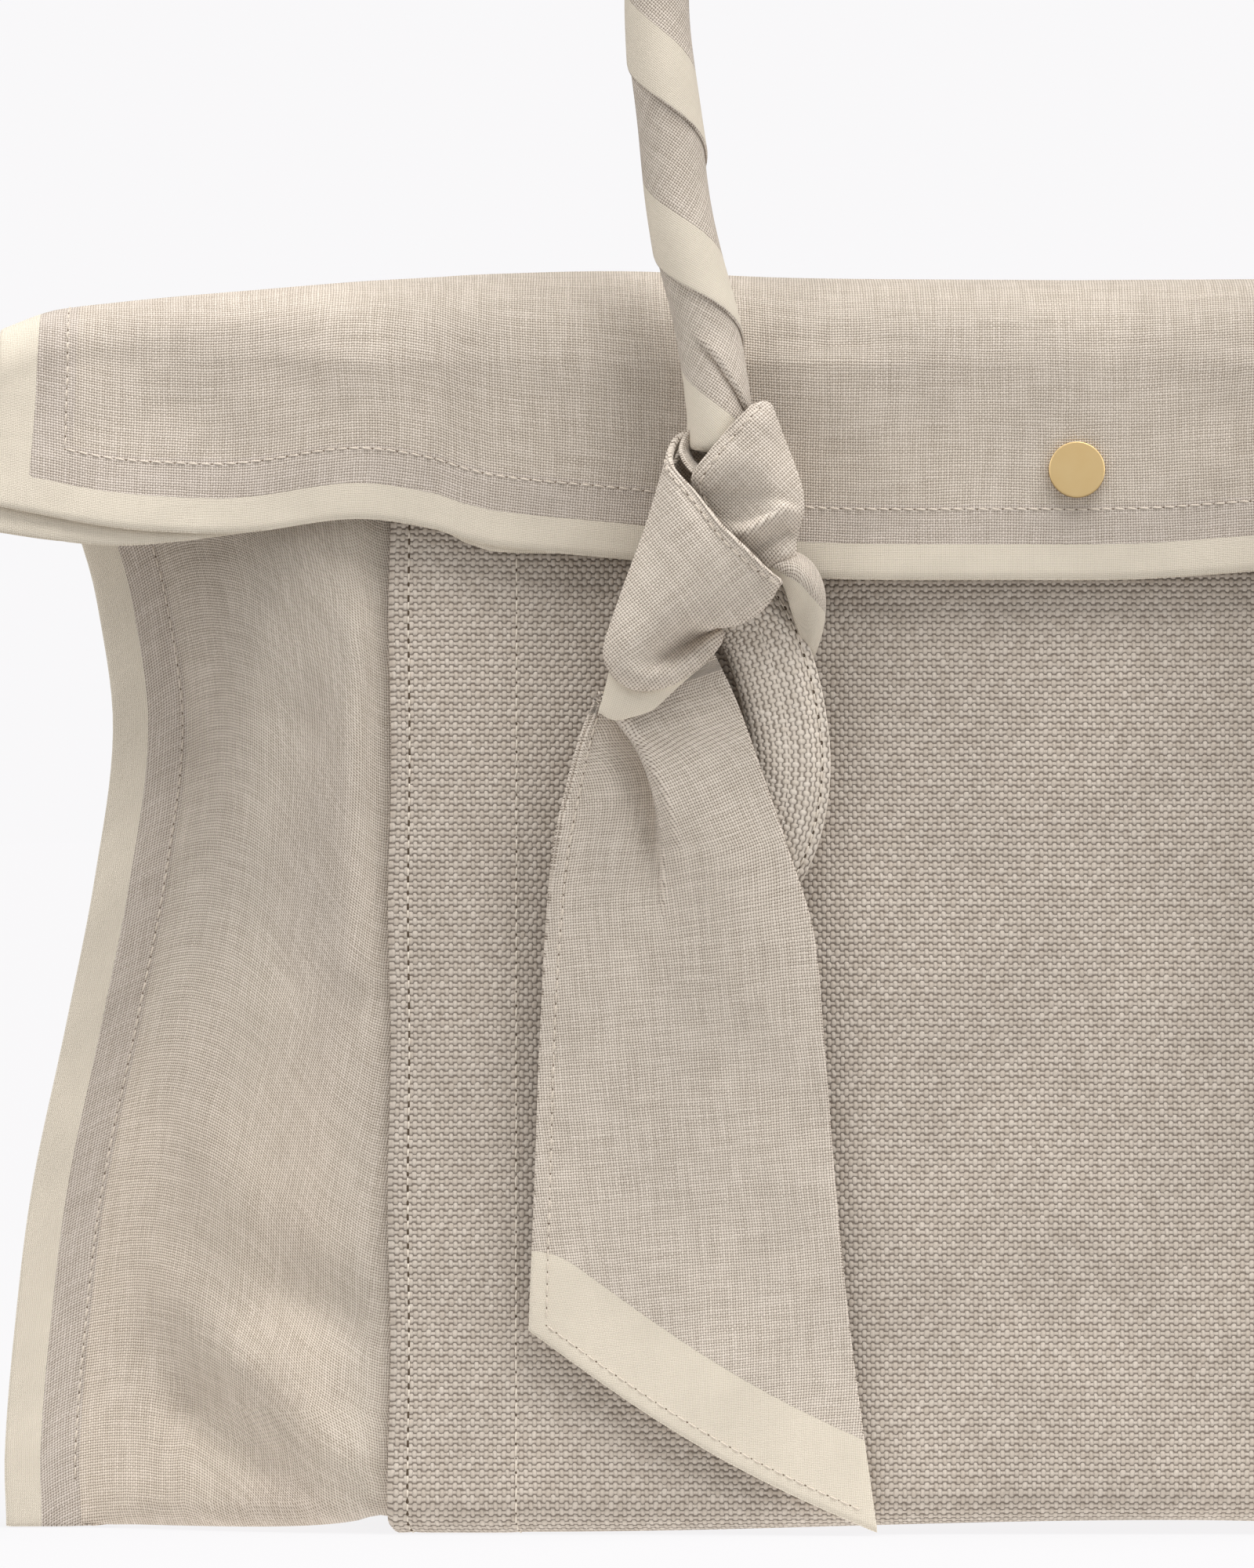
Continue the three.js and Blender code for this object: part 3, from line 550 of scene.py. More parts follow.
def makeCanvas(name, look):
    # heavy canvas of plump beads
    material, tree, surface = newMaterial(name)
    flat = addNode(tree, "ShaderNodeUVMap", uv_map="flat").outputs[0]
    weave = addWeave(tree, "bead", flat, look["across"], look["along"], look["wobble"])
    yarn = mixColour(tree, weave["Tone"], look["yarn"], look["light"])
    fleck = remap(tree, noiseAt(tree, flat, 420.0, 3.0), 0.35, 0.75, 0.0, 0.45)
    yarn = mixColour(tree, fleck, yarn, look["yarn"])
    colour = mixColour(tree, times(tree, weave["Gap"], 0.8), yarn, look["dark"])
    finishCloth(tree, surface, look, mottled(tree, flat, look, colour), weave["Height"], weave["Height"])
    return material


def makeThread(name, colour):
    # twisted sewing thread
    material, tree, surface = newMaterial(name)
    turn = noiseAt(tree, objectPlace(tree), 2600.0, 1.0)
    lighter = tuple(min(1.0, c * 1.12) for c in colour) + (1,)
    darker = tuple(c * 0.82 for c in colour) + (1,)
    feed(tree, surface, {"Base Color": mixColour(tree, turn, darker, lighter), "Roughness": 0.75,
                         "Normal": bumped(tree, turn, 0.0001, 0.6)})
    return material


def makeHoleShade(name, dark, light):
    # painted shade of a needle hole: a dark disc where the hole holds shade
    material, tree, surface = newMaterial(name)
    colour = mixColour(tree, noiseAt(tree, objectPlace(tree), 2200.0), dark, light)
    feed(tree, surface, {"Base Color": colour, "Roughness": 1.0, "Specular IOR Level": 0.0})
    return material


def makeBrass(name):
    # satin brass, brushed up and down
    material, tree, surface = newMaterial(name)
    place = objectPlace(tree)
    brushed = addNode(tree, "ShaderNodeMapping", {"Vector": place, "Scale": (1, 1, 14)}).outputs[0]
    grain = noiseAt(tree, brushed, 900.0)
    colour = mixColour(tree, noiseAt(tree, place, 160.0), (0.585, 0.41, 0.19, 1), (0.63, 0.475, 0.245, 1))
    feed(tree, surface, {"Base Color": colour, "Metallic": 1.0,
                         "Roughness": calc(tree, "MULTIPLY_ADD", grain, 0.08, 0.3),
                         "Normal": bumped(tree, grain, 0.00005, 0.15)})
    return material


materials = {
    "scarf": makeLinen("scarfLinen", scarfLook),
    "sack": makeLinen("sackLinen", sackLook),
    "canvas": makeCanvas("heavyCanvas", canvasLook),
    "loop": makeCanvas("loopCanvasPaintedLight", loopPaintedLightLook),
    "greigeThread": makeThread("greigeThread", (0.78, 0.7, 0.6)),
    "paleThread": makeThread("paleThread", (0.73, 0.645, 0.55)),
    "hole": makeHoleShade("needleHoleShade", (0.06, 0.045, 0.03, 1), (0.15, 0.11, 0.08, 1)),
    "softHoleShade": makeHoleShade("linenHole", (0.14, 0.105, 0.075, 1), (0.27, 0.21, 0.16, 1)),
    "brass": makeBrass("satinBrass"),
}
print("materials made")


# Sewing: a line of stitches along a path on the cloth

stitchShape = {
    "rings": 5,
    "sides": 6,
    "holeSides": 7,
    "jitter": 0.05,         # of the pitch
    "arch": 5.4,            # of the radius, as the sunk depth and the lean are
    "sunk": 0.75,
    "lean": 0.12,
    "thinEnd": 0.62,
    "holeSpread": 0.22,     # from the smallest hole to the largest
    "holeDepth": 0.1,
    "holeRise": 0.04,
}
# materials of the thread, and of the painted shade in its needle holes
sewingKinds = {"canvas": ("greigeThread", "hole"), "linen": ("paleThread", "softHoleShade")}
linenHole = (0.3, 0.21)


def alongPath(path, normals, at):
    # places, normals, directions and sides at lengths along a path
    lengths = lengthsAlong(path)
    ahead = unit(readLine(at, lengths, np.gradient(path, axis=0)))
    side = unit(np.cross(ahead, readLine(at, lengths, normals)))
    return readLine(at, lengths, path), np.cross(side, ahead), ahead, side


def ringOf(sides, first, second):
    # a round of unit steps between two directions
    angles = 2 * math.pi * np.arange(sides) / sides
    return first[..., None, :] * np.cos(angles)[:, None] + second[..., None, :] * np.sin(angles)[:, None]


def tubeFaces(count, rings, sides):
    # the faces of closed tubes, each made of some rings of points
    faces = []
    for start in range(0, count * rings * sides, rings * sides):
        last = start + (rings - 1) * sides
        for low in range(start, last, sides):
            for a in range(sides):
                b = (a + 1) % sides
                faces.append([low + a, low + b, low + sides + b, low + sides + a])
        faces.append([start + a for a in reversed(range(sides))])
        faces.append([last + a for a in range(sides)])
    return faces


def stitches(path, normals, pitch, radius, slant, hole, cover=0.8):
    # points and faces of the threads, which cover that share of the pitch, and of the dark discs of painted
    # shade at the needle holes
    c = stitchShape
    length = lengthsAlong(path)[-1]
    count = max(int(round(length / pitch)), 1)
    order = np.arange(count)
    starts = order * length / count + c["jitter"] * np.sin(order * 12.9898) * pitch
    shares = np.linspace(0, 1, c["rings"])
    at = starts[:, None] + ((1 - cover) / 2 + cover * shares) * length / count
    place, up, ahead, side = alongPath(path, normals, at)
    lift = radius * (c["arch"] * shares * (1 - shares) - c["sunk"])
    lean = slant * (shares - 0.5) + c["lean"] * radius * np.sin(order * 5.3)[:, None]
    middle = place + up * lift[None, :, None] + side * lean[..., None]
    wide = radius * np.where((shares == 0) | (shares == 1), c["thinEnd"], 1.0)
    threads = middle[:, :, None] + ringOf(c["sides"], side, up) * wide[None, :, None, None]
    place, up, ahead, side = alongPath(path, normals, starts)
    grow = 1 + c["holeSpread"] * np.sin(order * 78.233)
    disc = ringOf(c["holeSides"], ahead * hole[0], side * hole[1]) * grow[:, None, None]
    low = place[:, None] + disc - up[:, None] * c["holeDepth"]
    high = place[:, None] + disc * 0.9 + up[:, None] * c["holeRise"]
    holes = np.stack([low, high], axis=1)
    return ((threads.reshape(-1, 3), tubeFaces(count, c["rings"], c["sides"])),
            (holes.reshape(-1, 3), tubeFaces(count, 2, c["holeSides"])))


def addStitches(name, lines, kind):
    # the threads and the painted-shade discs at the needle holes of some lines as one piece, each with its
    # own material
    points, faces, kinds, start = [], [], [], 0
    for line in lines:
        for part, (p, f) in enumerate(line):
            points.append(p)
            faces += [[start + k for k in face] for face in f]
            kinds += [part] * len(f)
            start += len(p)
    piece = addMesh(name, np.concatenate(points), faces, smoothAngle=80)
    for finish in sewingKinds[kind]:
        piece.data.materials.append(materials[finish])
    piece.data.polygons.foreach_set("material_index", np.array(kinds, np.int32))
    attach(piece, "root")
    return piece


def sewOn(name, paths, values, slant, kind, mirror=False, hole=linenHole):
    # stitches along paths on a piece, each a path with its normals; mirror sews the right side
    if mirror:
        paths = [(path * (-1, 1, 1), normals * (-1, 1, 1)) for path, normals in paths]
    pitch, radius = values["stitchPitch"], values["thread"]
    lines = [stitches(*path, pitch, radius, slant, hole) for path in paths]
    return addStitches(name + "Stitches", lines, kind)


def hemPath(face, normals, down, level, keep):
    # the line on a cloth's face at a set distance up from its hem
    rows = np.arange(len(face))
    path, ups = [], []
    for j in keep:
        order = np.argsort(down[:, j])
        at = np.interp(level, down[order, j], rows[order])
        path.append(readLine(at, rows, face[:, j]))
        ups.append(readLine(at, rows, normals[:, j]))
    return np.array(path), np.array(ups)


# Canvas body: front wall, base and back wall in one length

canvas = {
    "thickness": 2.0,
    "top": 308,
    "baseHalfDepth": 40,
    "topHalfDepth": 22,
    "cornerRadius": 10,
    "baseRise": 3.2,
    "riseCentre": 25,
    "riseEnd": 148,
    "riseFades": 80,        # height at which the walls no longer follow the rise of the base
    "endRadius": 4.4,
    "hem": 33,              # second sewn line, in from the edge
    "hemRaised": 0.5,
    "edgeStitch": 4.4,
    "stitchPitch": 3.75,
    "thread": 0.27,
    "insets": [0, 0.8, 1.8, 3, 4.4, 6, 8.5, 12, 17, 23, 29, 33, 35, 39],
    "edgeWave": 0.7,
}
dents = {"x": [-40, 70, -150, 140], "z": [205, 120, 110, 200], "halfX": [60, 70, 30, 40],
         "halfZ": [45, 60, 70, 50], "depth": [1.6, 1.8, 1.2, 1.4]}
# Faint waves of the front wall that the CAD model leaves out
softWaves = {"x": [-90, -62, -20, 40, 95, 140, -165], "z": [60, 140, 95, 190, 60, 110, 180],
             "halfX": [22, 16, 34, 26, 30, 20, 14], "halfZ": [60, 40, 30, 60, 44, 60, 50],
             "depth": [0.7, -0.6, -0.8, 0.7, -0.7, 0.6, -0.4]}
noBorder = -5.0     # border value, in mm, of cloth without a cream border


def faceDepth(z):
    up = np.maximum(z, 0) / canvas["top"]
    return canvas["topHalfDepth"] + (canvas["baseHalfDepth"] - canvas["topHalfDepth"]) * (1 - up ** 1.6)


def baseRiseAt(x, z=0):
    c = canvas
    reach = np.where(x < c["riseCentre"], c["riseEnd"] + c["riseCentre"], c["riseEnd"] - c["riseCentre"])
    t = np.minimum(np.abs(x - c["riseCentre"]) / reach, 1)
    return c["baseRise"] * (0.5 + 0.5 * np.cos(math.pi * t)) * max(0, 1 - z / c["riseFades"]) ** 2


def canvasGrid():
    c = canvas
    inside = c["thickness"] / 2
    radius = c["cornerRadius"] - inside
    centre = c["baseHalfDepth"] - c["cornerRadius"]
    heights = np.concatenate([np.arange(c["top"], 60, -7.0), np.arange(60, 11, -5.0)])
    angles = np.linspace(0, math.pi / 2, 9)
    front = [(inside - faceDepth(z), z) for z in heights]
    corner = [(-centre - radius * math.cos(a), c["cornerRadius"] - radius * math.sin(a)) for a in angles]
    half = front + corner + [(-20, inside), (-10, inside)]
    section = half + [(0, inside)] + [(-y, z) for y, z in reversed(half)]
    edge = np.array(c["insets"], float)
    middle = np.linspace(-bodyHalf + edge[-1], bodyHalf - edge[-1], 48)[1:-1]
    x = np.concatenate([-bodyHalf + edge, middle, bodyHalf - edge[::-1]])
    fromEdge = bodyHalf - np.abs(x)
    rows = []
    for y, z in section:
        push = np.zeros_like(x)
        if y < 0:
            push = (sumBumps(dents, x, z) + sumBumps(softWaves, x, z)) * min(z / 40, 1)
        rounded = c["endRadius"] - math.sqrt(c["endRadius"] ** 2 - max(c["endRadius"] - z, 0) ** 2)
        wave = c["edgeWave"] * math.sin(z / 13 + y / 17) * softBump(fromEdge, 5)
        across = x * (1 - rounded / bodyHalf) - np.sign(x) * wave * 0.6
        rows.append(np.stack([across, y + push, z + baseRiseAt(x, z)], axis=1))
    return np.array(rows), x, fromEdge


def makeCanvasBody():
    c = canvas
    grid, x, fromEdge = canvasGrid()
    flatAlong = lengthsAlong(grid)
    flat = np.stack([np.broadcast_to(x, flatAlong.shape), flatAlong], axis=2)
    hem = c["hemRaised"] * ease(c["hem"] + 1 - fromEdge, -1.5, 1.5)
    grooves = 0.55 * softBump(fromEdge - c["edgeStitch"], 1.3) + 0.4 * softBump(fromEdge - c["hem"], 1.2)
    thickness = np.broadcast_to(c["thickness"] - c["hemRaised"] / 2 + hem - grooves, flatAlong.shape)
    parts = sheetParts(grid, thickness, flat, np.full(flatAlong.shape, noBorder))
    body = addCloth("canvasBody", parts, "canvas", ["canvas_body"])
    normals = facing(grid, 4, 4)
    face = grid + normals * thickness[..., None] / 2
    lines = []
    for inset, hole, cover in ((c["edgeStitch"], (0.95, 0.5), 0.6), (c["hem"], (0.36, 0.26), 0.8)):
        column = c["insets"].index(inset)
        for at in (column, -1 - column):
            path = face[:, at], normals[:, at]
            lines.append(stitches(*path, c["stitchPitch"], c["thread"], 0.1, hole, cover))
    sewing = addStitches("canvasStitches", lines, "canvas")


makeCanvasBody()


# Linen sack: two cloths that line the body, stand out as wings and fold over the front as a flap

linen = {
    "thickness": 1.2,
    "liningGap": 0.8,
    "layerSpacing": 2.2,
    "seamGap": 0.8,
    "seamInset": 20,
    "footLift": 2,
    "flapClearance": 2,
    "flapForward": 2,       # of the fold over the body
    "flapLean": 0.03,
    "flapAway": 0.19,       # slope of the flap's free ends
    "flapEdge": 288,
    "hemRise": 2.7,         # of the hem beside the crease at the stud
    "springsAt": 312,       # height at which the fold over the body starts
    "underFold": (311, 315.4),      # the same for the cloth under it, and its crest
    "looseFold": (-25, 15),         # y of the flap's free ends, and the height of their fold
    "flapWave": (1.6, 17),          # height and length of the waves across the flap
    "sway": (-13, 80),              # of the wings at the floor, and how high it reaches
    "slowSway": (3, 31),            # a slow wave up the wings, and its length
    "crease": (10.6, 1.8, 1.1),     # its place, half width and depth
    "ripple": (34, 30, 1.6),        # small waves: length across and up, and depth
    "border": 9.2,
    "sewnIn": 18.5,
    "stitchPitch": 3.3,
    "thread": 0.23,
    "insets": [0, 0.9, 2.2, 4.2, 6.6, 9.2, 11.6, 14.4, 16.8, 18.5, 20],
    "drawIn": 1.0,          # of the flap's edge, at the fold
    "flapBorder": 2.4,      # wider cream at the flap's two ends
    "wingColumns": 27,
    "liningStep": 7,
    "wallStep": 5,
    "foldRows": 22,
    "hangRows": 28,
}
sideEdge = {"z": [0, 18, 51, 90, 135, 173, 214, 248, 264, 290, 308],
            "x": [285, 286, 283.8, 279.2, 269.8, 262.4, 257.6, 262, 266.2, 276, 283.5]}
flapLine = {"x": [0, 75, 120, 158, 171, 192, 222, 240, 256, 274, 288],
            "crest": [334.4, 335, 336.8, 336, 335.2, 334, 331.4, 329.8, 328.2, 325.8, 320.8],
            "hem": [253.5, 254.2, 259, 263, 267.1, 269.8, 266, 266.1, 267.4, 270.6, 273.4],
            "under": [256, 256.5, 260.5, 261.6, 268, 270.5, 266, 263.6, 262.6, 264.3, 266.4]}
flapBumps = {"x": [64, 62], "z": [306, 268], "halfX": [17, 15], "halfZ": [22, 12], "depth": [-2.6, 0.5]}
wingBottom = {"out": [0, 4, 10, 20, 35, 60, 103], "z": [4.6, 5, 3.4, 2.2, 1.5, 1.2, 1.2]}
# Each fold of a wing's front cloth: x and z of its two ends, half width and depth
wingFolds = [
    (254, 57, 236, 33, 8, 3), (236, 33, 208, 11, 7, 3.4), (243, 66, 222, 46, 8, -2.6),
    (222, 46, 194, 20, 8, -3.4), (188, 56, 210, 66, 8, 3.2), (226, 84, 240, 118, 13, -2),
    (192, 150, 190, 240, 6, -2.6), (210, 150, 206, 215, 9, 1.6),
]
wingSlack = {"x": [214], "z": [262], "halfX": [25], "halfZ": [100], "depth": [7]}
liningInset = canvas["thickness"] + linen["liningGap"] + linen["thickness"] / 2


def wingShare(x, edge):
    return np.clip((np.abs(x) - bodyHalf) / (edge - linen["seamInset"] - bodyHalf), 0, 1)


def flapLoose(x):
    # 0 where the flap lies over the body and 1 at its free ends
    return ease(wingShare(x, linen["flapEdge"]), 0, 1)


def sackHalf(x, z, edge):
    inner = linen["layerSpacing"] / 2
    return inner + (faceDepth(z) - liningInset - inner) * np.cos(wingShare(x, edge) * math.pi / 2)


def wingSway(x, z, edge):
    out = wingShare(x, edge) * ease(np.abs(x), bodyHalf, edge)
    (low, height), (slow, length) = linen["sway"], linen["slowSway"]
    return out * (low * softBump(z, height) + slow * math.sin(z / length))


def wingFold(x, z):
    total = np.zeros_like(x)
    for x1, z1, x2, z2, half, depth in wingFolds:
        total += depth * softBump(lineDistance(np.abs(x), z, x1, z1, x2, z2), half)
    total -= sumBumps(wingSlack, np.abs(x), z) * (1 - ease(z, 264, 304))
    return total * ease(np.abs(x), 184, 192) * ease(z, 5, 20)


def sackColumns(edge):
    c = linen
    seam = edge - c["seamInset"]
    shares = np.linspace(1, 0, c["wingColumns"] + 1)[1:]
    lining = np.arange(bodyHalf - 5, 0, -c["liningStep"])
    half = np.concatenate([edge - np.array(c["insets"]), bodyHalf + (seam - bodyHalf) * shares, lining])
    return np.concatenate([-half, [0], half[::-1]])


def topFold(x, outer):
    # the fold over the top, for the outer cloth or the cloth under it
    c = linen
    loose = flapLoose(x)
    crest = readTable(flapLine, "x", "crest", np.abs(x)) - c["thickness"] / 2
    looseFront, looseHeight = c["looseFold"]
    spring = blend(c["springsAt"], crest - looseHeight, loose)
    face = faceDepth(spring)
    lining = face - liningInset
    over = face + c["flapClearance"] + c["thickness"] + c["layerSpacing"] + c["flapForward"]
    back = blend(lining, c["layerSpacing"] / 2, loose)
    front = blend(-over + c["thickness"] / 2, looseFront, loose)
    if outer:
        return back, front, spring, crest
    tight = 1 - loose
    underSpring, underCrest = c["underFold"]
    return (blend(back - c["layerSpacing"], -lining, tight), front + c["layerSpacing"],
            blend(spring, underSpring, tight), blend(crest - c["layerSpacing"], underCrest, tight))


def flapDepth(x, z, front, spring, outer):
    c = linen
    loose = flapLoose(x)
    layer = c["layerSpacing"] if outer else 0
    hung = front - (spring - z) * c["flapLean"] - c["thickness"] / 2
    hung = np.minimum(hung, -(faceDepth(z) + c["flapClearance"] - 0.4 + layer))
    hung = hung + sumBumps(flapBumps, np.abs(x), z)
    away = front - (spring - z) * c["flapAway"]
    height, length = c["flapWave"]
    wave = height * np.sin(np.abs(x) / length) * ease(spring - z, 8, 55)
    return blend(hung, away, loose) - np.abs(wave) * (0.35 + 0.65 * loose)


def wallRow(z, outer):
    # middle points of one row of a cloth on the body's wall and in the wings
    edge = float(readTable(sideEdge, "z", "x", z))
    x = sackColumns(edge)
    y = (1 if outer else -1) * sackHalf(x, z, edge) + wingSway(x, z, edge)
    if not outer:
        y += sumBumps(dents, x, z) * min(z / 40, 1) + wingFold(x, z) * ease(1 - wingShare(x, edge), 0, 0.35)
    return np.stack([x, y, z + baseRiseAt(x, z)], axis=1)


def footRow(part, at, outer):
    # a row round the corner of the base, or the row at the seam under the bag
    c = linen
    edge = float(readTable(sideEdge, "z", "x", 6))
    x = sackColumns(edge)
    half = sackHalf(x, 0, edge)
    radius = np.minimum(canvas["cornerRadius"] - liningInset, (half - c["layerSpacing"] / 2) * 0.7)
    bottom = readTable(wingBottom, "out", "z", np.maximum(np.abs(x) - bodyHalf, 0))
    if part == "foot":
        angle = at * math.pi / 2
        y = half - radius + radius * math.cos(angle)
        above = np.maximum(radius, c["footLift"]) * (1 - math.sin(angle))
    else:
        flange = ease(wingShare(x, edge), 0.86, 1)
        y, above = blend(c["seamGap"] / 2, half, flange), -flange * 0.5
    y = (1 if outer else -1) * y + wingSway(x, 0, edge)
    return np.stack([x, y, bottom + baseRiseAt(x) + above], axis=1)


def flapRow(part, at, outer):
    # a row over the top fold, or down the hanging flap
    c = linen
    x = sackColumns(c["flapEdge"])
    back, front, spring, crest = topFold(x, outer)
    up = at if part == "hang" else 1
    x = x - np.sign(x) * c["drawIn"] * up * ease(np.abs(x), 225, c["flapEdge"])
    if part == "fold":
        angle = math.pi * (1 - at)
        y = (back + front) / 2 + (back - front) / 2 * math.cos(angle)
        return np.stack([x, y, spring + (crest - spring) * math.sin(angle)], axis=1)
    hem = readTable(flapLine, "x", "hem" if outer else "under", np.abs(x))
    hem = hem + c["hemRise"] * ease(x, 8, 60) * (1 - ease(x, 70, 150))
    z = blend(hem, spring, at)
    return np.stack([x, flapDepth(x, z, front, spring, outer), z], axis=1)


def sackGrid(outer):
    # rows from the seam under the bag, up the wall, over the fold and down to the hem
    c = linen
    rows = [("bottomSeam", 1)] + [("foot", t) for t in (1, 0.75, 0.5, 0.25, 0)]
    grid = [footRow(part, at, outer) for part, at in rows]
    walls = np.arange(13, 305, c["wallStep"])
    grid += [wallRow(z, outer) for z in walls]
    flap = [("fold", 1 - t) for t in np.linspace(0, 1, c["foldRows"] + 2)[1:-1]]
    flap += [("hang", t) for t in np.linspace(1, 0, c["hangRows"])]
    grid = np.array(grid + [flapRow(part, at, outer) for part, at in flap])
    parts = np.array([part for part, at in rows] + ["wall"] * len(walls) + [part for part, at in flap])
    x, z = grid[..., 0], grid[..., 2]
    hanging = (parts == "hang")[:, None]
    across, up, depth = c["ripple"]
    soft = np.array([[noise.noise(Vector((px / across, pz / up, 4.0))) for px, pz in zip(rx, rz)]
                     for rx, rz in zip(x, z)])
    loose = np.isin(parts, ["wall", "hang"])[:, None]
    free = np.where(loose, ease(np.abs(x), bodyHalf - 2, bodyHalf + 14), 0)
    hung = hanging * ease(320 - z, 6, 30) * 0.7
    grid[..., 1] -= np.abs(soft) * depth * np.maximum(free, hung) * ease(z, 4, 30)
    place, half, depth = c["crease"]
    grid[..., 1] -= depth * softBump(x - place, half) * ease(290 - z, 0, 30) * hanging
    return grid, parts


def sackFlat(grid):
    # distance in from the side edges and up from the hem, as the cloth lies flat
    edge = linen["flapEdge"]
    run = lengthsAlong(grid, 1)
    half = len(linen["insets"]) + linen["wingColumns"] - 1
    x = grid[..., 0]
    u = np.where(x < 0, run - edge, edge - run[:, -1:] + run)
    body = slice(half, x.shape[1] - half)
    u[:, body] = ((edge - run[:, half])[:, None] * x / bodyHalf)[:, body]
    return np.stack([u, lengthsAlong(grid[::-1])[::-1]], axis=2)


def makeLinenCloth(outer):
    c = linen
    grid, parts = sackGrid(outer)
    flat = sackFlat(grid)
    fromSide, fromHem = c["flapEdge"] - np.abs(flat[..., 0]), flat[..., 1]
    wider = c["flapBorder"] * np.isin(parts, ["fold", "hang"])[:, None] * ease(fromHem, 0, 60)
    border = np.maximum(c["border"] + wider - fromSide, c["border"] - fromHem)
    toSeam = np.stack([fromSide, fromHem]) - c["sewnIn"]
    hemmed, groove = ease(0.8 - toSeam, -0.8, 0.8).max(axis=0), softBump(toSeam, 0.9).max(axis=0)
    thickness = c["thickness"] - 0.3 + 0.3 * hemmed - 0.3 * groove
    name, node = ("linenBack", "linen_back") if outer else ("linenFront", "linen_front")
    cloth = addCloth(name, sheetParts(grid, thickness, flat, border), "sack", [node])
    wall = int(np.argmax(parts == "wall")) + 20
    normals = facing(grid, wall, grid.shape[1] // 2, 1 if outer else -1)
    face = grid + normals * thickness[..., None] / 2
    seam = c["insets"].index(c["sewnIn"])
    paths = []
    for column in (seam, grid.shape[1] - 1 - seam):
        keep = parts == "wall"
        if outer:
            keep = (fromHem[:, column] > c["sewnIn"]) & (grid[:, column, 2] > 2)
        paths.append((face[keep, column], normals[keep, column]))
    if outer:
        paths.append(hemPath(face, normals, fromHem, c["sewnIn"], range(seam, grid.shape[1] - seam)))
    sewing = sewOn(name, paths, c, 0.25, "linen")


makeLinenCloth(False)
makeLinenCloth(True)


# Scarf handle: a folded strip twisted into a strap, each turn lapped over the next

strap = {
    "radius": 8.9,
    "lapRise": 0.85,
    "pitch": 50.8,
    "firstLap": 56.5,     # length along the strap to the lap in front of the flap
    "creamShare": 0.405,
    "tuck": 0.07,
    "thickness": 0.85,
    "columns": 56,
    "rowsPerTurn": 56,
    "ends": 16,           # length at each end that the knot hides
    "beyond": 35,         # how far the twist goes on there
    "hollow": 0.9,        # how far the cloth sinks between its laps
    "endTaper": 0.05,
}
handleRise = [(-94.2, -43, 272), (-94.2, -43.5, 290), (-95.6, -43.5, 305), (-99.2, -43, 322),
              (-102.8, -42, 337), (-106.4, -40.5, 358), (-109.8, -38, 384), (-111.4, -36, 410),
              (-110.9, -34.5, 430)]
arch = {"radius": 110.9, "spring": 430, "lean": -3, "steps": 10}
# The fold that rolls over above the left knot: its edge, x at heights z
rolledFold = {"z": [294, 298, 303, 307.5, 312, 316, 321],
              "x": [-86.6, -88.7, -91, -93.8, -97, -100.6, -105.4]}
rollShape = {"raised": 1.5, "raisedFades": 5, "sunk": 0.9, "sunkFades": 2.2}


def strapLine():
    points = list(handleRise)
    for k in range(1, arch["steps"]):
        angle = k / arch["steps"] * math.pi
        x, z = -arch["radius"] * math.cos(angle), arch["spring"] + arch["radius"] * math.sin(angle)
        points.append((x, handleRise[-1][1] - arch["lean"] * math.sin(angle), z))
    points += [(-x, y, z) for x, y, z in reversed(handleRise)]
    return denser(points, 1200)


def rollOver(grid, centre):
    # cloth right of the fold's edge rolls over the cloth left of it, on the camera's side
    x, y, z = (grid[..., k] for k in range(3))
    aside = x - readTable(rolledFold, "z", "x", z)
    share = ease(z, 294, 299) * (1 - ease(z, 312, 320)) * (y < centre[..., 1] - 1)
    c = rollShape
    raised = c["raised"] * ease(aside, -0.25, 0.9) * np.exp(-np.maximum(aside, 0) / c["raisedFades"])
    sunk = c["sunk"] * np.where(aside < 0.2, softBump(aside - 0.2, c["sunkFades"]), 0)
    return (sunk - raised) * share


def makeStrap():
    c = strap
    line = strapLine()
    lengths = lengthsAlong(line)
    total = lengths[-1]
    ahead = unit(np.gradient(line, axis=0))
    side = unit(np.array([0, 1, 0]) - ahead * ahead[:, 1:2])
    other = np.cross(side, ahead)
    w = np.concatenate([[0, 0.012, 0.035], np.linspace(0.07, 1, c["columns"]), [1 + c["tuck"]]])
    first = (-c["beyond"] - c["firstLap"]) / c["pitch"] + 0.5
    last = (total + c["beyond"] - c["firstLap"]) / c["pitch"] - 0.5
    turns = np.linspace(first, last, int((last - first) * c["rowsPerTurn"]))
    share, turn = np.meshgrid(w, turns)
    s = c["pitch"] * (share + turn - 0.5) + c["firstLap"]
    over = np.maximum(c["ends"] - s, 0) + np.maximum(s - total + c["ends"], 0)
    reach = np.minimum(over, 40) * 0.2
    read = np.clip(s, c["ends"] - reach, total - c["ends"] + reach)
    at = np.clip(read, 0, total)
    middle, forward, out, back = (readLine(at, lengths, values) for values in (line, ahead, side, other))
    centre = middle + forward * (read - at)[..., None]
    angle = 2 * math.pi * turn[..., None]
    radius = c["radius"] + c["lapRise"] * (0.5 - share) - c["thickness"] / 2
    radius -= c["hollow"] * np.sin(np.clip(share, 0, 1) * math.pi) * ease(share, 0.2, 0.9)
    radius *= np.maximum(1 - over * c["endTaper"], 0.3)
    grid = centre + radius[..., None] * (np.cos(angle) * out + np.sin(angle) * back)
    grid[..., 1] += rollOver(grid, centre)
    around = 2 * math.pi * c["radius"]
    norm = math.hypot(around, c["pitch"])
    width = c["pitch"] * around / norm
    along = (turn * around * around + c["pitch"] ** 2 * (share + turn)) / norm
    border = np.minimum(c["creamShare"] - share, share - 0.009) * width
    parts = sheetParts(grid, c["thickness"], np.stack([share * width, along], axis=2), border)
    handle = addCloth("scarfHandle", parts, "scarf", ["scarf_handle"])


makeStrap()

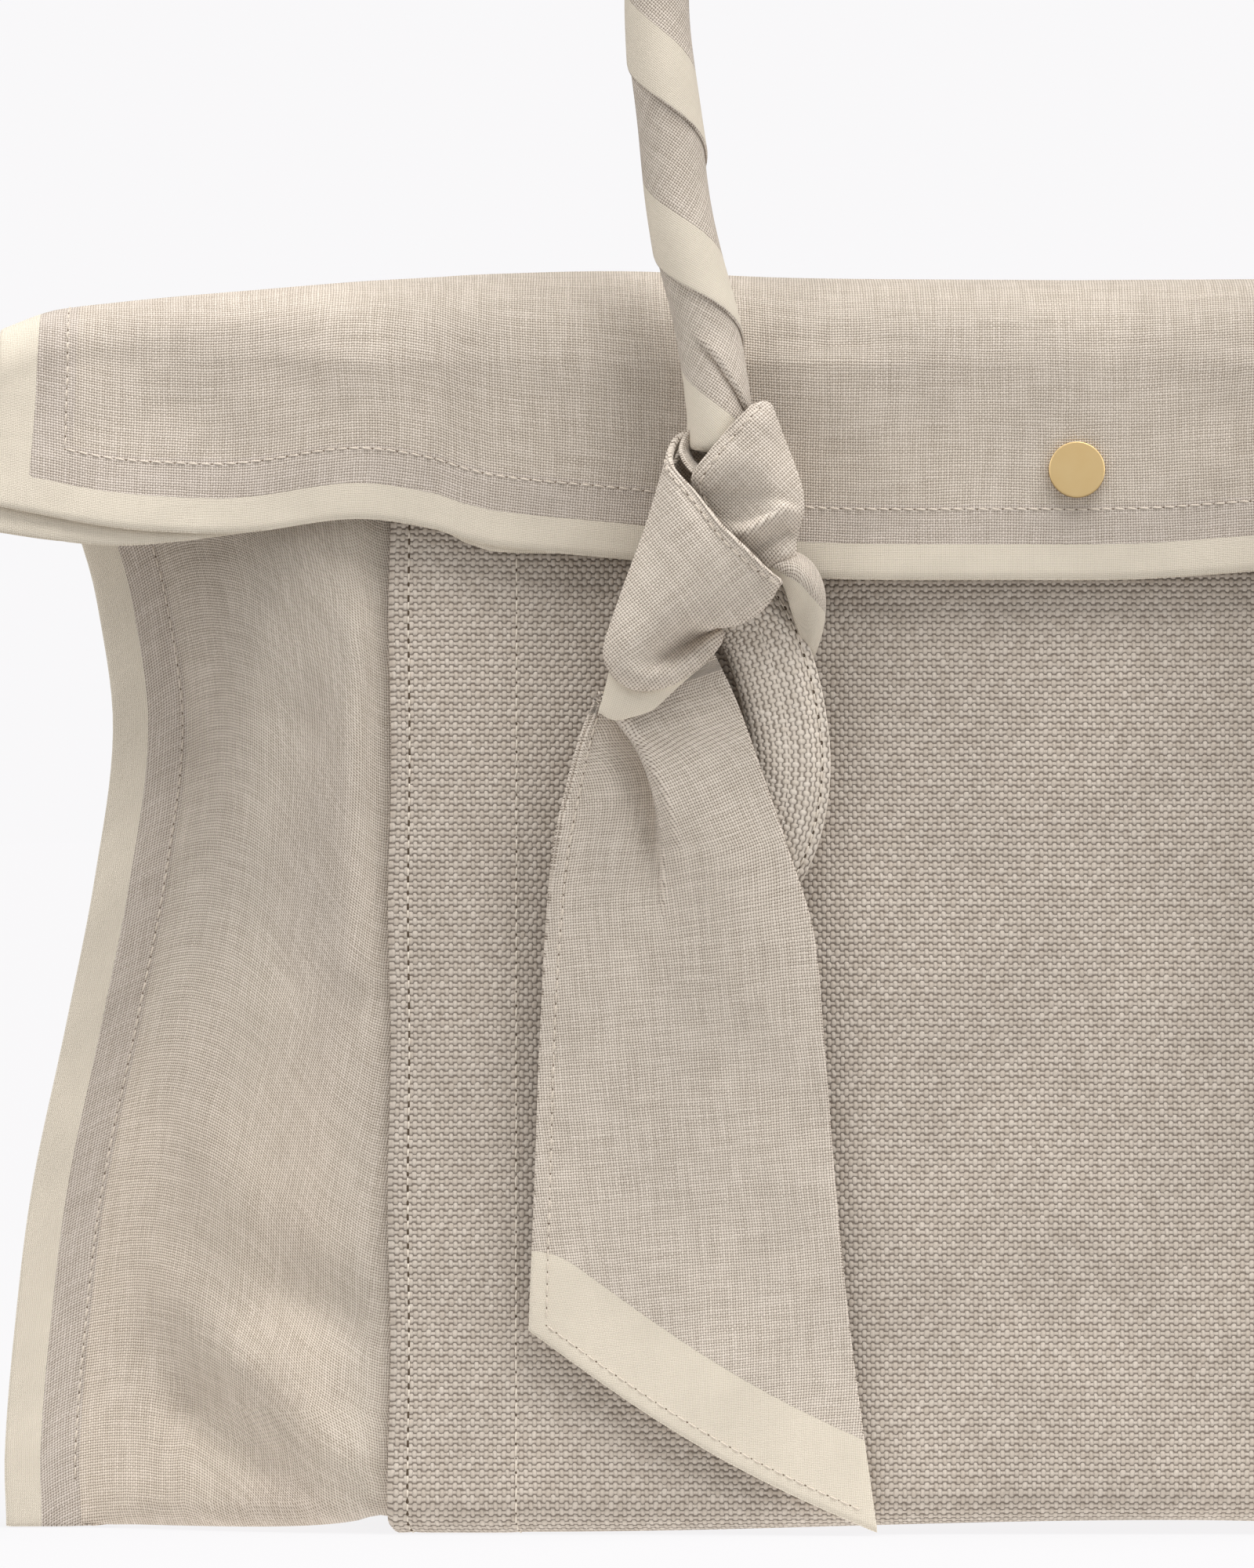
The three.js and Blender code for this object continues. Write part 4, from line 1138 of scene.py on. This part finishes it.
# Tails of the scarf: two layers, folded along the long edge and sewn along the others

tail = {
    "layer": 1.1,
    "apart": 1.3,
    "flat": (78, 240),    # width and length
    "leftColumns": 34,    # columns left and right of the deep fold
    "rightColumns": 52,
    "rows": 130,
    "sag": 4.4,
    "cream": 20.9,
    "sewnIn": 3.6,
    "stitchPitch": 3.25,
    "thread": 0.21,
    "grain": -5,          # degrees that the weave is turned
    "foldGrain": 15,      # more of it beside the deep fold
    "foldHeight": 6.2,
    "foldFades": 20,      # how far right of its edge the fold's height fades
    "recess": 4.2,
    "recessWidth": 9,
    "lapOver": 1.1,       # of the fold's edge over the cloth left of it
    "backShows": 1.0,
    "hemRaised": 0.25,
}
tailEdges = {
    "at": [0, 0.08, 0.17, 0.28, 0.4, 0.55, 0.72, 0.87, 1],
    "leftX": [-126.5, -130.6, -134.4, -138.2, -140.9, -142.6, -143.6, -144.6, -145.4],
    "leftZ": [222, 212, 198, 181, 156, 127, 98, 74, 54.5],
    "rightX": [-98, -91, -84.5, -77.5, -70.6, -67.6, -64.6, -60.4, -53.6],
    "rightZ": [236, 221, 203, 182.5, 160, 129, 92, 51, 1.2],
    "y": [-44.6, -44.6, -44.4, -43.8, -42.6, -41.4, -41.6, -42.3, -42.8],
}
tailSewn = [0, 0.7, 1.1, 2, 3, 3.6, 4.2]    # columns along the sewn edge
# Soft folds: share across and share down of both ends, half width and depth
tailFolds = [(0.02, 0.06, 0.16, 0.3, 0.09, 1.4), (0.72, 0.3, 0.9, 0.52, 0.16, -1.8),
             (0.6, 0.5, 0.45, 0.66, 0.22, 0.9)]
# The deep fold under the knot: its edge, x at heights z
deepFold = {"z": [150, 168.5, 182.5, 196.5, 207.3, 215.6, 222, 236],
            "x": [-111.5, -109.6, -109.2, -110.8, -114.6, -120.2, -126, -138]}


def tailGrid():
    # columns gather on the deep fold's edge, where the cloth turns forward and over
    c = tail
    down = np.concatenate([np.linspace(0, 0.94, c["rows"]), [0.953, 0.965, 0.975, 0.983, 0.989, 0.995, 1]])
    left, right = (np.linspace(0, 1, c[name])[:, None] for name in ("leftColumns", "rightColumns"))
    leftX, leftZ, rightX, rightZ, y = (readTable(tailEdges, "at", name, down)
                                       for name in ("leftX", "leftZ", "rightX", "rightZ", "y"))
    edge = (readTable(deepFold, "z", "x", (leftZ + rightZ) / 2) - leftX) / (rightX - leftX)
    edge = np.clip(edge, 0.12, 0.9)
    sewn = np.array(tailSewn)[:, None] / 76
    near = sewn[-1] + (edge - sewn[-1]) * (1 - (1 - left) ** 1.8)
    far = edge + (1 - edge) * right ** 1.5
    share = np.concatenate([np.broadcast_to(sewn, (len(sewn), len(down))), near[1:], far[1:]]).T
    at = down[:, None]
    x = blend(leftX[:, None], rightX[:, None], share)
    z = blend(leftZ[:, None], rightZ[:, None], share) - c["sag"] * np.sin(math.pi * share) * at ** 3
    y = np.broadcast_to(y[:, None], share.shape).copy()
    for across1, at1, across2, at2, half, depth in tailFolds:
        y += depth * softBump(lineDistance(share, at, across1, at1, across2, at2), half)
    aside = x - readTable(deepFold, "z", "x", z)
    fade = ease(z, 160, 196)
    soft = 0.7 + 4.5 * (1 - ease(z, 166, 208))
    y -= c["foldHeight"] * ease(aside / soft, -1, 1) * np.exp(-np.maximum(aside, 0) / c["foldFades"]) * fade
    y += c["recess"] * np.where(aside < 0, softBump(aside, c["recessWidth"]), 0) * fade * ease(-aside, 0, 1.2)
    x = x - c["lapOver"] * softBump(aside - 0.2, 0.8) * ease(z, 176, 200)
    return np.stack([x, y, z], axis=2)


def turned(u, v, degrees):
    angle = math.radians(degrees)
    return np.stack([u * math.cos(angle) - v * math.sin(angle), u * math.sin(angle) + v * math.cos(angle)],
                    axis=2)


def tailFlat(grid):
    # flat coordinates by length along each row; beside the deep fold the warp follows its edge
    c = tail
    run = lengthsAlong(grid, 1)
    fold = len(tailSewn) + c["leftColumns"] - 2
    out = run - run[:, fold:fold + 1]
    level = grid[:, fold:fold + 1, 2]
    turn = np.radians(c["foldGrain"]) * ease(level, 140, 205)
    right = out > 0
    spread = np.where(right, out * np.cos(turn) + 0.3 * np.maximum(level - 182, 0), out)
    u = spread + readTable(deepFold, "z", "x", level) + 98
    v = grid[..., 2] - 190 - np.where(right, out * np.sin(turn), 0)
    return turned(u, v, c["grain"])


def distanceTo(points, x, z):
    # distance of each place from a line of points, seen from the front
    line = points[:, [0, 2]]
    return np.min([lineDistance(x, z, *a, *b) for a, b in zip(line[:-1], line[1:])], axis=0)


def makeTail(mirror):
    c = tail
    grid = tailGrid()
    x, z = grid[..., 0], grid[..., 2]
    fromEnd, fromSide = distanceTo(grid[-1], x, z), distanceTo(grid[:, 0], x, z)
    flat, border = tailFlat(grid), c["cream"] - fromEnd
    sewn = np.minimum(fromEnd, fromSide)
    groove = 0.35 * softBump(sewn - c["sewnIn"], 0.9) + 0.3 * softBump(sewn - 1, 0.35)
    thickness = c["layer"] - 0.15 + c["hemRaised"] * ease(c["sewnIn"] + 0.5 - sewn, -0.6, 0.6) - groove
    normals = facing(grid, 60, 30)
    front = grid + normals * c["apart"] / 2
    back = grid - normals * c["apart"] / 2
    back[..., 0] -= c["backShows"] * ease(3.5 - fromSide, 0, 3.5) * ease(z, 130, 200)
    both = joinParts([sheetParts(front, thickness, flat, border), sheetParts(back, c["layer"], flat, border)])
    name = "tailRight" if mirror else "tailLeft"
    piece = addCloth(name, both, "scarf", ["scarf_handle"], mirror)
    face = front + normals * thickness[..., None] / 2
    seam = tailSewn.index(c["sewnIn"])
    keep = fromEnd[:, seam] > c["sewnIn"]
    paths = [(face[keep, seam], normals[keep, seam]),
             hemPath(face, normals, fromEnd, c["sewnIn"], range(seam, grid.shape[1] - 2))]
    sewing = sewOn(name, paths, c, 0.12, "linen", mirror)


makeTail(False)
makeTail(True)
print("tails made")

# Knots: wraps of the scarf, each laid through its own listed net of places

knotNets = {
    "frontWrap": [
        [(-103.2, -42.5, 292.8), (-106.4, -45, 290.4), (-108, -49.5, 286), (-106.8, -54, 281.6),
         (-101.8, -58, 275.8), (-95.2, -61, 267.4), (-88.6, -61.5, 261), (-82, -59.5, 254.8),
         (-78.8, -54, 252.3)],
        [(-104.6, -42.5, 291), (-107.8, -45.5, 287.6), (-109, -50.5, 283), (-107, -55.5, 278.6),
         (-102.2, -59, 272.4), (-95.8, -61, 264.6), (-89.6, -61, 257.4), (-81.6, -58, 250.8),
         (-81, -52, 249.6)],
        [(-108, -43, 284.5), (-110, -47.5, 280.8), (-109.2, -54, 276.6), (-106, -58.5, 271.6),
         (-101.7, -61, 265.2), (-97.5, -61.5, 259), (-92.1, -60.5, 252.3), (-84.6, -56, 245.8),
         (-85, -50, 245.6)],
        [(-112.9, -43, 269), (-114.2, -50, 266.5), (-111.7, -56, 263.1), (-108.8, -59.5, 259.8),
         (-105.4, -61, 255.6), (-101.7, -61, 251), (-97.1, -59.5, 246), (-90.4, -54, 241.7),
         (-90.8, -48, 242.3)],
        [(-117.9, -43, 253.5), (-119.6, -50, 252.1), (-117.1, -56, 250), (-113.8, -59, 247.7),
         (-110, -60.5, 245.6), (-105.8, -60, 244), (-101.7, -58, 242.3), (-97.1, -54, 240.6),
         (-96.2, -47, 241)],
        [(-122.1, -43, 241.7), (-123.5, -50, 241), (-121.2, -56, 239.4), (-117.9, -59, 237.5),
         (-113.8, -59, 236.9), (-108.8, -55.5, 238.1), (-102.9, -51, 239.4), (-97.5, -49, 240),
         (-95.8, -45, 240.6)],
        [(-123.8, -43, 236), (-125.2, -50, 235.4), (-122.5, -56, 233.5), (-118.8, -58.5, 231.9),
         (-113.8, -56.5, 231.9), (-107.9, -51, 234), (-102.1, -47.5, 236.9), (-97.1, -47, 239.4),
         (-95.4, -44, 240.2)],
        [(-123.8, -43, 232.7), (-125.2, -50, 232.3), (-122.5, -55.5, 229.2), (-118.3, -58, 227.3),
         (-112.9, -58, 227.3), (-106.7, -55.5, 229.8), (-100.8, -52.5, 234), (-96.2, -50, 238.1),
         (-94.6, -46, 239.8)],
        [(-122.9, -42, 231), (-124.4, -47, 230.2), (-121.7, -52, 226.5), (-117.5, -54.5, 224.2),
         (-111.7, -55, 224.4), (-105.4, -53, 226.9), (-99.6, -50.5, 231.2), (-95.6, -48.5, 235.6),
         (-94.4, -45, 238.5)],
        [(-122.1, -41, 231.5), (-123.3, -44, 230.6), (-120.8, -47.5, 227.7), (-117.1, -49.5, 225.6),
         (-111.7, -50, 225.6), (-105.8, -49.5, 227.9), (-100.4, -48, 231.9), (-96.7, -46.5, 235.6),
         (-95.4, -44, 238.1)],
    ],
    "upperWrap": [
        [(-85.8, -52, 298.8), (-84.8, -52.5, 299.4), (-84, -52, 299.7), (-83.1, -51.5, 299.7),
         (-82.3, -50.5, 299.5), (-81.7, -48, 298.8), (-82.3, -42, 297.7)],
        [(-89.6, -54, 295.6), (-87.7, -55, 295), (-85.8, -55.5, 294.8), (-83.8, -55, 294.8),
         (-81.7, -53.5, 294.6), (-80, -49, 294), (-81, -42, 293.3)],
        [(-94.2, -54, 290.6), (-91.7, -55.5, 289.4), (-88.8, -56.5, 289), (-85.4, -56.5, 289),
         (-81.7, -54.5, 289), (-77.9, -48, 288.5), (-79.6, -41, 288.1)],
        [(-98.3, -54.5, 285.6), (-95.8, -56, 284), (-91.7, -57, 283.5), (-87.1, -57.4, 283.5),
         (-81.7, -56, 283.5), (-75.8, -48.5, 282.9), (-77.9, -40, 282.7)],
        [(-101.7, -54, 281), (-99.2, -55, 279), (-93.8, -55.5, 278.5), (-87.5, -56.5, 278.5),
         (-80.8, -56, 278.1), (-74, -48.5, 277.3), (-76.2, -40, 277.1)],
        [(-102.1, -53, 277.3), (-98.3, -53.4, 275.2), (-92.5, -53.8, 274.4), (-86.2, -55, 274.4),
         (-80, -55.5, 274), (-73.5, -48.5, 272.7), (-75.8, -40, 272.5)],
        [(-98.8, -52.2, 270.8), (-94.6, -53, 269), (-89.8, -54, 268.1), (-84.2, -56, 269.8),
         (-78.5, -56.5, 271.5), (-73.8, -48.5, 269.8), (-76, -40, 269.6)],
        [(-93.5, -53, 263.5), (-90.8, -55.2, 263.5), (-87.7, -57.6, 265.2), (-83.5, -57.8, 267.7),
         (-79.2, -55.5, 269), (-74.6, -47.5, 266.9), (-76.7, -40, 266.5)],
        [(-90.4, -51, 261), (-87.3, -52, 260.8), (-84.6, -52.4, 262.1), (-81.2, -51.6, 264.2),
         (-77.9, -49.5, 265.6), (-75.2, -46, 264), (-77.1, -40, 263.5)],
        [(-86.7, -51, 258.1), (-84.2, -52.5, 258.1), (-82.1, -53, 259), (-79.6, -52.5, 260.2),
         (-77.1, -50.5, 260.6), (-75.4, -46, 259.8), (-77.1, -40, 259.4)],
        [(-83.1, -50, 256), (-82.1, -51, 256.5), (-80.4, -51, 257.3), (-78.8, -50.5, 257.9),
         (-77.1, -49, 258.3), (-75.8, -45.5, 258.1), (-77.1, -41, 257.7)],
    ],
    "sideLoop": [
        [(-84.6, -42, 259), (-81.2, -41, 259.8), (-77.5, -40, 260.2), (-74.2, -39, 259.6),
         (-70.8, -38, 256.9), (-68.5, -36.5, 252.3), (-68.1, -35, 246.9), (-68.8, -34, 240.6),
         (-70.8, -33, 234)],
        [(-84.2, -47, 258.1), (-80.4, -46, 259.2), (-76.7, -45.5, 259.6), (-73.3, -44.5, 258.8),
         (-70, -43, 255.6), (-67.9, -41, 250.6), (-67.5, -39, 245.2), (-68.3, -37, 239.4),
         (-70.4, -34.5, 232.7)],
        [(-83.3, -50.5, 256.9), (-79.8, -51, 257.3), (-76.5, -51, 256.9), (-73.8, -50, 255.2),
         (-71.5, -48.5, 252.5), (-69.6, -46, 249), (-68.8, -43, 244), (-69.4, -40, 238.3),
         (-70.6, -35.5, 232.3)],
        [(-82.5, -51, 255.6), (-79.6, -51.5, 255.6), (-77.1, -51, 254.2), (-75.2, -50, 252.1),
         (-73.5, -48, 249.6), (-72.1, -45.5, 246.7), (-71.2, -43, 242.3), (-71, -40, 237.5),
         (-71, -35.5, 232.1)],
        [(-81.7, -50, 254.8), (-79.8, -49, 254.2), (-78.3, -48, 251.9), (-77.3, -46.5, 249.4),
         (-76.5, -44.5, 246.5), (-75.6, -42.5, 244), (-74.6, -40.5, 241), (-73.1, -38, 236.9),
         (-71.5, -34, 232.3)],
    ],
    "creamEdge": [
        [(-123.8, -48, 230.2), (-120.4, -51.5, 227.7), (-116.7, -53, 226), (-112.1, -53, 226.5),
         (-107.5, -52, 228.5), (-103.3, -50.5, 231), (-99.2, -48.5, 234.4)],
        [(-125.2, -49.5, 224), (-121.7, -53, 221.7), (-117.5, -54.5, 221.2), (-112.9, -54, 222.7),
         (-108.8, -52.5, 225.4), (-104.2, -51, 228.8), (-99, -48.5, 233.1)],
        [(-126.9, -49, 218.1), (-123.1, -51.5, 216.2), (-118.3, -53, 216.9), (-112.7, -53, 219),
         (-109.2, -51.5, 222.1), (-104.4, -50, 226.5), (-98.8, -48, 231.2)],
    ],
    "innerRim": [
        [(-102.1, -46, 293.3), (-104.6, -47, 290.6), (-105.6, -49, 287.3), (-104.6, -51, 284),
         (-102.1, -52, 281)],
        [(-101, -44, 292.7), (-103.1, -45, 290.2), (-104.2, -47, 287.1), (-103.1, -49, 284.2),
         (-101.2, -50, 281.9)],
        [(-100.4, -41, 291.5), (-102.1, -42, 289.2), (-102.7, -44, 286.7), (-102.1, -46, 284.4),
         (-100.4, -48, 282.7)],
    ],
    "backWrap": [
        [(-104.6, -40, 290.6), (-98.8, -35.5, 291.5), (-90.4, -33.8, 290.6), (-83.1, -35, 288.5),
         (-80, -41, 286.9)],
        [(-109.2, -42, 278.1), (-100.8, -36.5, 279.8), (-90.4, -33.6, 279.2), (-81, -35, 278.5),
         (-76.7, -41, 277.7)],
        [(-114.2, -43.5, 263.5), (-105, -43, 263.5), (-93.5, -43, 263.5), (-81, -42.6, 266.5),
         (-76.2, -43, 266)],
        [(-120.6, -44, 246.9), (-109.2, -43.2, 244.8), (-97.7, -43.2, 242.7), (-88.3, -43, 249),
         (-80, -43, 257.3)],
        [(-123.3, -44, 234.4), (-113.3, -43.4, 230.2), (-105, -43.4, 230.2), (-99.8, -43.2, 234.4),
         (-95.6, -43, 240.6)],
    ],
}
knotCloth = {
    "thickness": 1.3,
    "spacing": 0.9,         # of the grid, and over the first few mm of a hem
    "fineSpacing": 0.35,
    "fineReach": 4,
    "sewnIn": 2.8,
    "hemRaised": 0.5,
    "groove": 0.4,          # at the seam, and just inside the edge
    "edgeGroove": 0.55,
    "stitchPitch": 3.2,
    "thread": 0.2,
}
# The side loop's cream: height of its edge at places across
creamLine = {"x": [-90, -80.2, -73.5, -69.8, -67.9, -66], "z": [257.5, 256, 251.8, 247.3, 244.6, 241]}


def evenPlaces(net, axis, fine):
    # places along a net for an even spacing, close together over the first few mm of a hem
    c = knotCloth
    reach = c["fineReach"] if fine else 0
    run = lengthsAlong(net, axis).max(axis=1 - axis)
    even = np.linspace(reach, run[-1], int((run[-1] - reach) / c["spacing"]) + 2)
    return np.interp(np.concatenate([np.arange(0, reach, c["fineSpacing"]), even]), run, np.arange(len(run)))


def knotPatch(name, turn=None, hem=None):
    # one wrap: its mesh parts, the fine grid through its net, the distance from its hem and thickness
    c = knotCloth
    net = np.array(knotNets[name], float)
    rows, columns = evenPlaces(net, 0, hem == "row"), evenPlaces(net, 1, hem == "column")
    grid = np.swapaxes(denser(np.swapaxes(denser(net, rows), 0, 1), columns), 0, 1)
    along, across = lengthsAlong(grid), lengthsAlong(grid, 1)
    x, z = grid[..., 0], grid[..., 2]
    flat = np.stack([across, along], axis=2) if turn is None else turned(x, z, turn)
    border = np.full(x.shape, noBorder)
    if name == "sideLoop":
        # greige outside and cream inside, and all cream at its tip
        border = np.interp(x, creamLine["x"], creamLine["z"]) - z
    elif name == "creamEdge":
        border = np.full(x.shape, -noBorder)
    thickness = np.full(x.shape, c["thickness"])
    fromHem = along if hem == "row" else across
    if hem:
        fromSeam = fromHem - c["sewnIn"]
        thickness += c["hemRaised"] * ease(0.4 - fromSeam, -0.4, 0.4) - c["groove"] * softBump(fromSeam, 0.7)
        thickness -= c["edgeGroove"] * softBump(fromHem - 1.1, 0.45)
    return sheetParts(grid, thickness, flat, border), grid, fromHem, thickness


def makeKnot(mirror):
    c = knotCloth
    front = knotPatch("frontWrap", turn=52.5, hem="row")
    upper = knotPatch("upperWrap", turn=-43, hem="column")
    patches = [front, upper, knotPatch("sideLoop"), knotPatch("creamEdge", turn=20), knotPatch("innerRim"),
               knotPatch("backWrap", turn=42)]
    name = "knotRight" if mirror else "knotLeft"
    both = joinParts([patch[0] for patch in patches])
    piece = addCloth(name, both, "scarf", ["scarf_handle"], mirror)
    paths = []
    for patch, first, last in ((front, 14, -6), (upper, 3, -20)):
        grid, fromHem, thickness = patch[1:]
        normals = facing(grid, 6, 10)
        face = grid + normals * thickness[..., None] / 2
        if patch is upper:
            face, normals, fromHem = np.swapaxes(face, 0, 1), np.swapaxes(normals, 0, 1), fromHem.T
        keep = range(first, face.shape[1] + last)
        paths.append(hemPath(face, normals, fromHem, c["sewnIn"], keep))
    sewing = sewOn(name, paths, c, 0.1, "linen", mirror)


makeKnot(False)
makeKnot(True)
print("knots made")

# Canvas loops that the scarf is tied through

loops = {
    "width": 22,
    "thickness": 7,
    "flangeShare": 0.45,
    "sides": 48,
    "steps": 170,
    "sewnAt": 8.6,      # sideways from the middle
    "stitchPitch": 3.4,
    "thread": 0.25,
    "hole": (0.6, 0.45),
}
loopLine = [(-93, -38, 168), (-84.5, -38, 176), (-78.8, -38.3, 188), (-76.6, -38.5, 203),
            (-77.8, -38.6, 217), (-81.2, -38.6, 231), (-86, -38.4, 242.5), (-93, -37.8, 250),
            (-101, -36.8, 251.5), (-107.2, -35.8, 246), (-110.8, -35.2, 235), (-111.8, -35.2, 220),
            (-110.8, -35.6, 202), (-108.4, -36.4, 186), (-104.6, -37.4, 172)]


def makeLoop(mirror):
    c = loops
    line = denser(loopLine, c["steps"])
    ahead = unit(np.gradient(line, axis=0))
    side = unit(np.cross(ahead, (0, -1, 0)))
    other = np.cross(side, ahead)
    angles = math.pi / 2 - np.linspace(0, 2 * math.pi, c["sides"] + 1)
    cos, sin = np.cos(angles), np.sin(angles)
    sideways = np.sign(cos) * np.abs(cos) ** 0.7 * c["width"] / 2
    flange = blend(1, c["flangeShare"], ease(cos, 0.35, 0.7))
    depth = np.sign(sin) * np.abs(sin) ** 0.75 * c["thickness"] / 2 * flange
    grid = line[:, None] + side[:, None] * sideways[None, :, None] + other[:, None] * depth[None, :, None]
    shape = grid.shape[:2]
    flat = np.stack([np.broadcast_to(lengthsAlong(line)[:, None], shape),
                     np.broadcast_to(lengthsAlong(grid, 1).mean(axis=0), shape)], axis=2)
    numbers, quads = gridQuads(*shape)
    faces = quads.tolist() + [numbers[0, :-1].tolist(), numbers[-1, :-1].tolist()]
    parts = grid.reshape(-1, 3), faces, flat.reshape(-1, 2), np.full(numbers.size, noBorder)
    name, node = ("loopRight", "canvas_loop_right") if mirror else ("loopLeft", "canvas_loop_left")
    piece = addCloth(name, parts, "loop", [node], mirror)
    paths = []
    for sign in (1, -1):
        column = int(np.argmin(np.abs(sideways - c["sewnAt"]) + 100 * (sin * sign < 0)))
        paths.append((grid[:, column], other * sign))
    sewing = sewOn(name, paths, c, 0.1, "canvas", mirror, c["hole"])


makeLoop(False)
makeLoop(True)
print("loops made")

# Press stud

stud = {
    "radius": 7.5,
    "thickness": 1.8,
    "height": 282.5,
    "tilt": -0.089,
    "gap": 0.4,
    "bevel": 0.45,
}


def makeStud():
    c = stud
    middle = np.array([0.0])
    front, spring = topFold(middle, True)[1:3]
    flap = float(flapDepth(middle, c["height"], front, spring, True)[0]) - linen["thickness"] / 2
    place = (0, (midPlane + flap - c["gap"] - c["thickness"] / 2) * mm, c["height"] * mm)
    selectNothing()
    bpy.ops.mesh.primitive_cylinder_add(vertices=96, radius=c["radius"] * mm, depth=c["thickness"] * mm,
                                        location=place, rotation=(math.pi / 2 + c["tilt"], 0, 0))
    cap = bpy.context.object
    cap.name = "pressStud"
    bpy.ops.object.transform_apply(location=True, rotation=True, scale=True)
    mesh = bmesh.new()
    mesh.from_mesh(cap.data)
    rims = [edge for edge in mesh.edges if any(len(face.verts) > 4 for face in edge.link_faces)]
    bmesh.ops.bevel(mesh, geom=rims, offset=c["bevel"] * mm, segments=4, profile=0.6, affect="EDGES")
    mesh.to_mesh(cap.data)
    mesh.free()
    bpy.ops.object.shade_smooth_by_angle(angle=math.radians(30))
    cap.data.materials.append(materials["brass"])
    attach(cap, "root")
    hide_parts("press_stud")


makeStud()
print("stud made")

# Floor, light and surroundings

studio = {
    "floorSize": 60,
    "floorColour": (0.07, 0.07, 0.07, 1),
    "floorGlow": (0.853, 0.845, 0.857, 1),    # the lit floor as the camera sees it
    "floorLift": (1.13, 1.11, 1.09, 1),     # the light it gives up to the bag close by
    "floorFar": (0.57, 0.56, 0.55, 1),      # and from far off
    "floorNear": (0.1, 0.55),               # where the one passes into the other
    "background": (0.947, 0.939, 0.95, 1),
    "ambient": 0.08,
    # Large panels at both sides of the front: place, aim, size and power
    "panels": {
        "leftPanel": ((-1.05, -0.75, 0.72), (-0.15, 0.0, 0.2), 0.8, 3.9),
        "rightPanel": ((1.0, -0.75, 0.7), (0.0, 0.0, 0.25), 0.8, 4.2),
    },
    # Suns: direction, strength, size in degrees and colour
    "suns": {
        "keyLight": ((-0.324, 0.187, -0.927), 2.95, 40, (1.0, 0.99, 0.975)),
        "leftLight": ((0.324, 0.187, -0.927), 1.45, 40, (1.0, 0.99, 0.975)),
    },
}


def makeStage():
    selectNothing()
    bpy.ops.mesh.primitive_plane_add(size=studio["floorSize"], location=(0, 0, 0))
    floor = bpy.context.object
    floor.name = "studioFloor"
    material, tree, surface = newMaterial("paleFloor")
    seen = addNode(tree, "ShaderNodeLightPath").outputs["Is Camera Ray"]
    away = addNode(tree, "ShaderNodeVectorMath", {0: objectPlace(tree)}, operation="LENGTH").outputs["Value"]
    lift = mixColour(tree, remap(tree, away, *studio["floorNear"]), studio["floorLift"], studio["floorFar"])
    feed(tree, surface, {"Base Color": studio["floorColour"], "Emission Strength": 1.0, "Roughness": 0.9,
                         "Emission Color": mixColour(tree, seen, lift, studio["floorGlow"]),
                         "Specular IOR Level": 0.0})
    material.cycles.emission_sampling = "NONE"
    floor.data.materials.append(material)


def addLight(name, kind, place, direction, power):
    bpy.ops.object.light_add(type=kind, location=place)
    light = bpy.context.object
    light.name = name
    light.rotation_euler = direction.to_track_quat("-Z", "Y").to_euler()
    light.data.energy = power
    return light.data


def lightScene():
    for name, (place, aim, size, power) in studio["panels"].items():
        addLight(name, "AREA", place, Vector(aim) - Vector(place), power).size = size
    for name, (direction, strength, angle, colour) in studio["suns"].items():
        sun = addLight(name, "SUN", (0, 0, 2), Vector(direction), strength)
        sun.angle = math.radians(angle)
        sun.color = colour
    world = bpy.data.worlds.new("studioWorld")
    bpy.context.scene.world = world
    world.use_nodes = True
    tree = world.node_tree
    tree.nodes.clear()
    seen = addNode(tree, "ShaderNodeBackground", {"Color": studio["background"], "Strength": 1.0}).outputs[0]
    lit = addNode(tree, "ShaderNodeBackground", {"Color": (1, 1, 1, 1), "Strength": studio["ambient"]})
    ray = addNode(tree, "ShaderNodeLightPath").outputs
    shown = calc(tree, "MAXIMUM", ray["Is Camera Ray"], ray["Is Glossy Ray"])
    mix = addNode(tree, "ShaderNodeMixShader", {0: shown, 1: lit.outputs[0], 2: seen}).outputs[0]
    addNode(tree, "ShaderNodeOutputWorld", {"Surface": mix})
    bpy.context.scene.view_settings.view_transform = "Standard"


makeStage()
lightScene()
print("lights set")
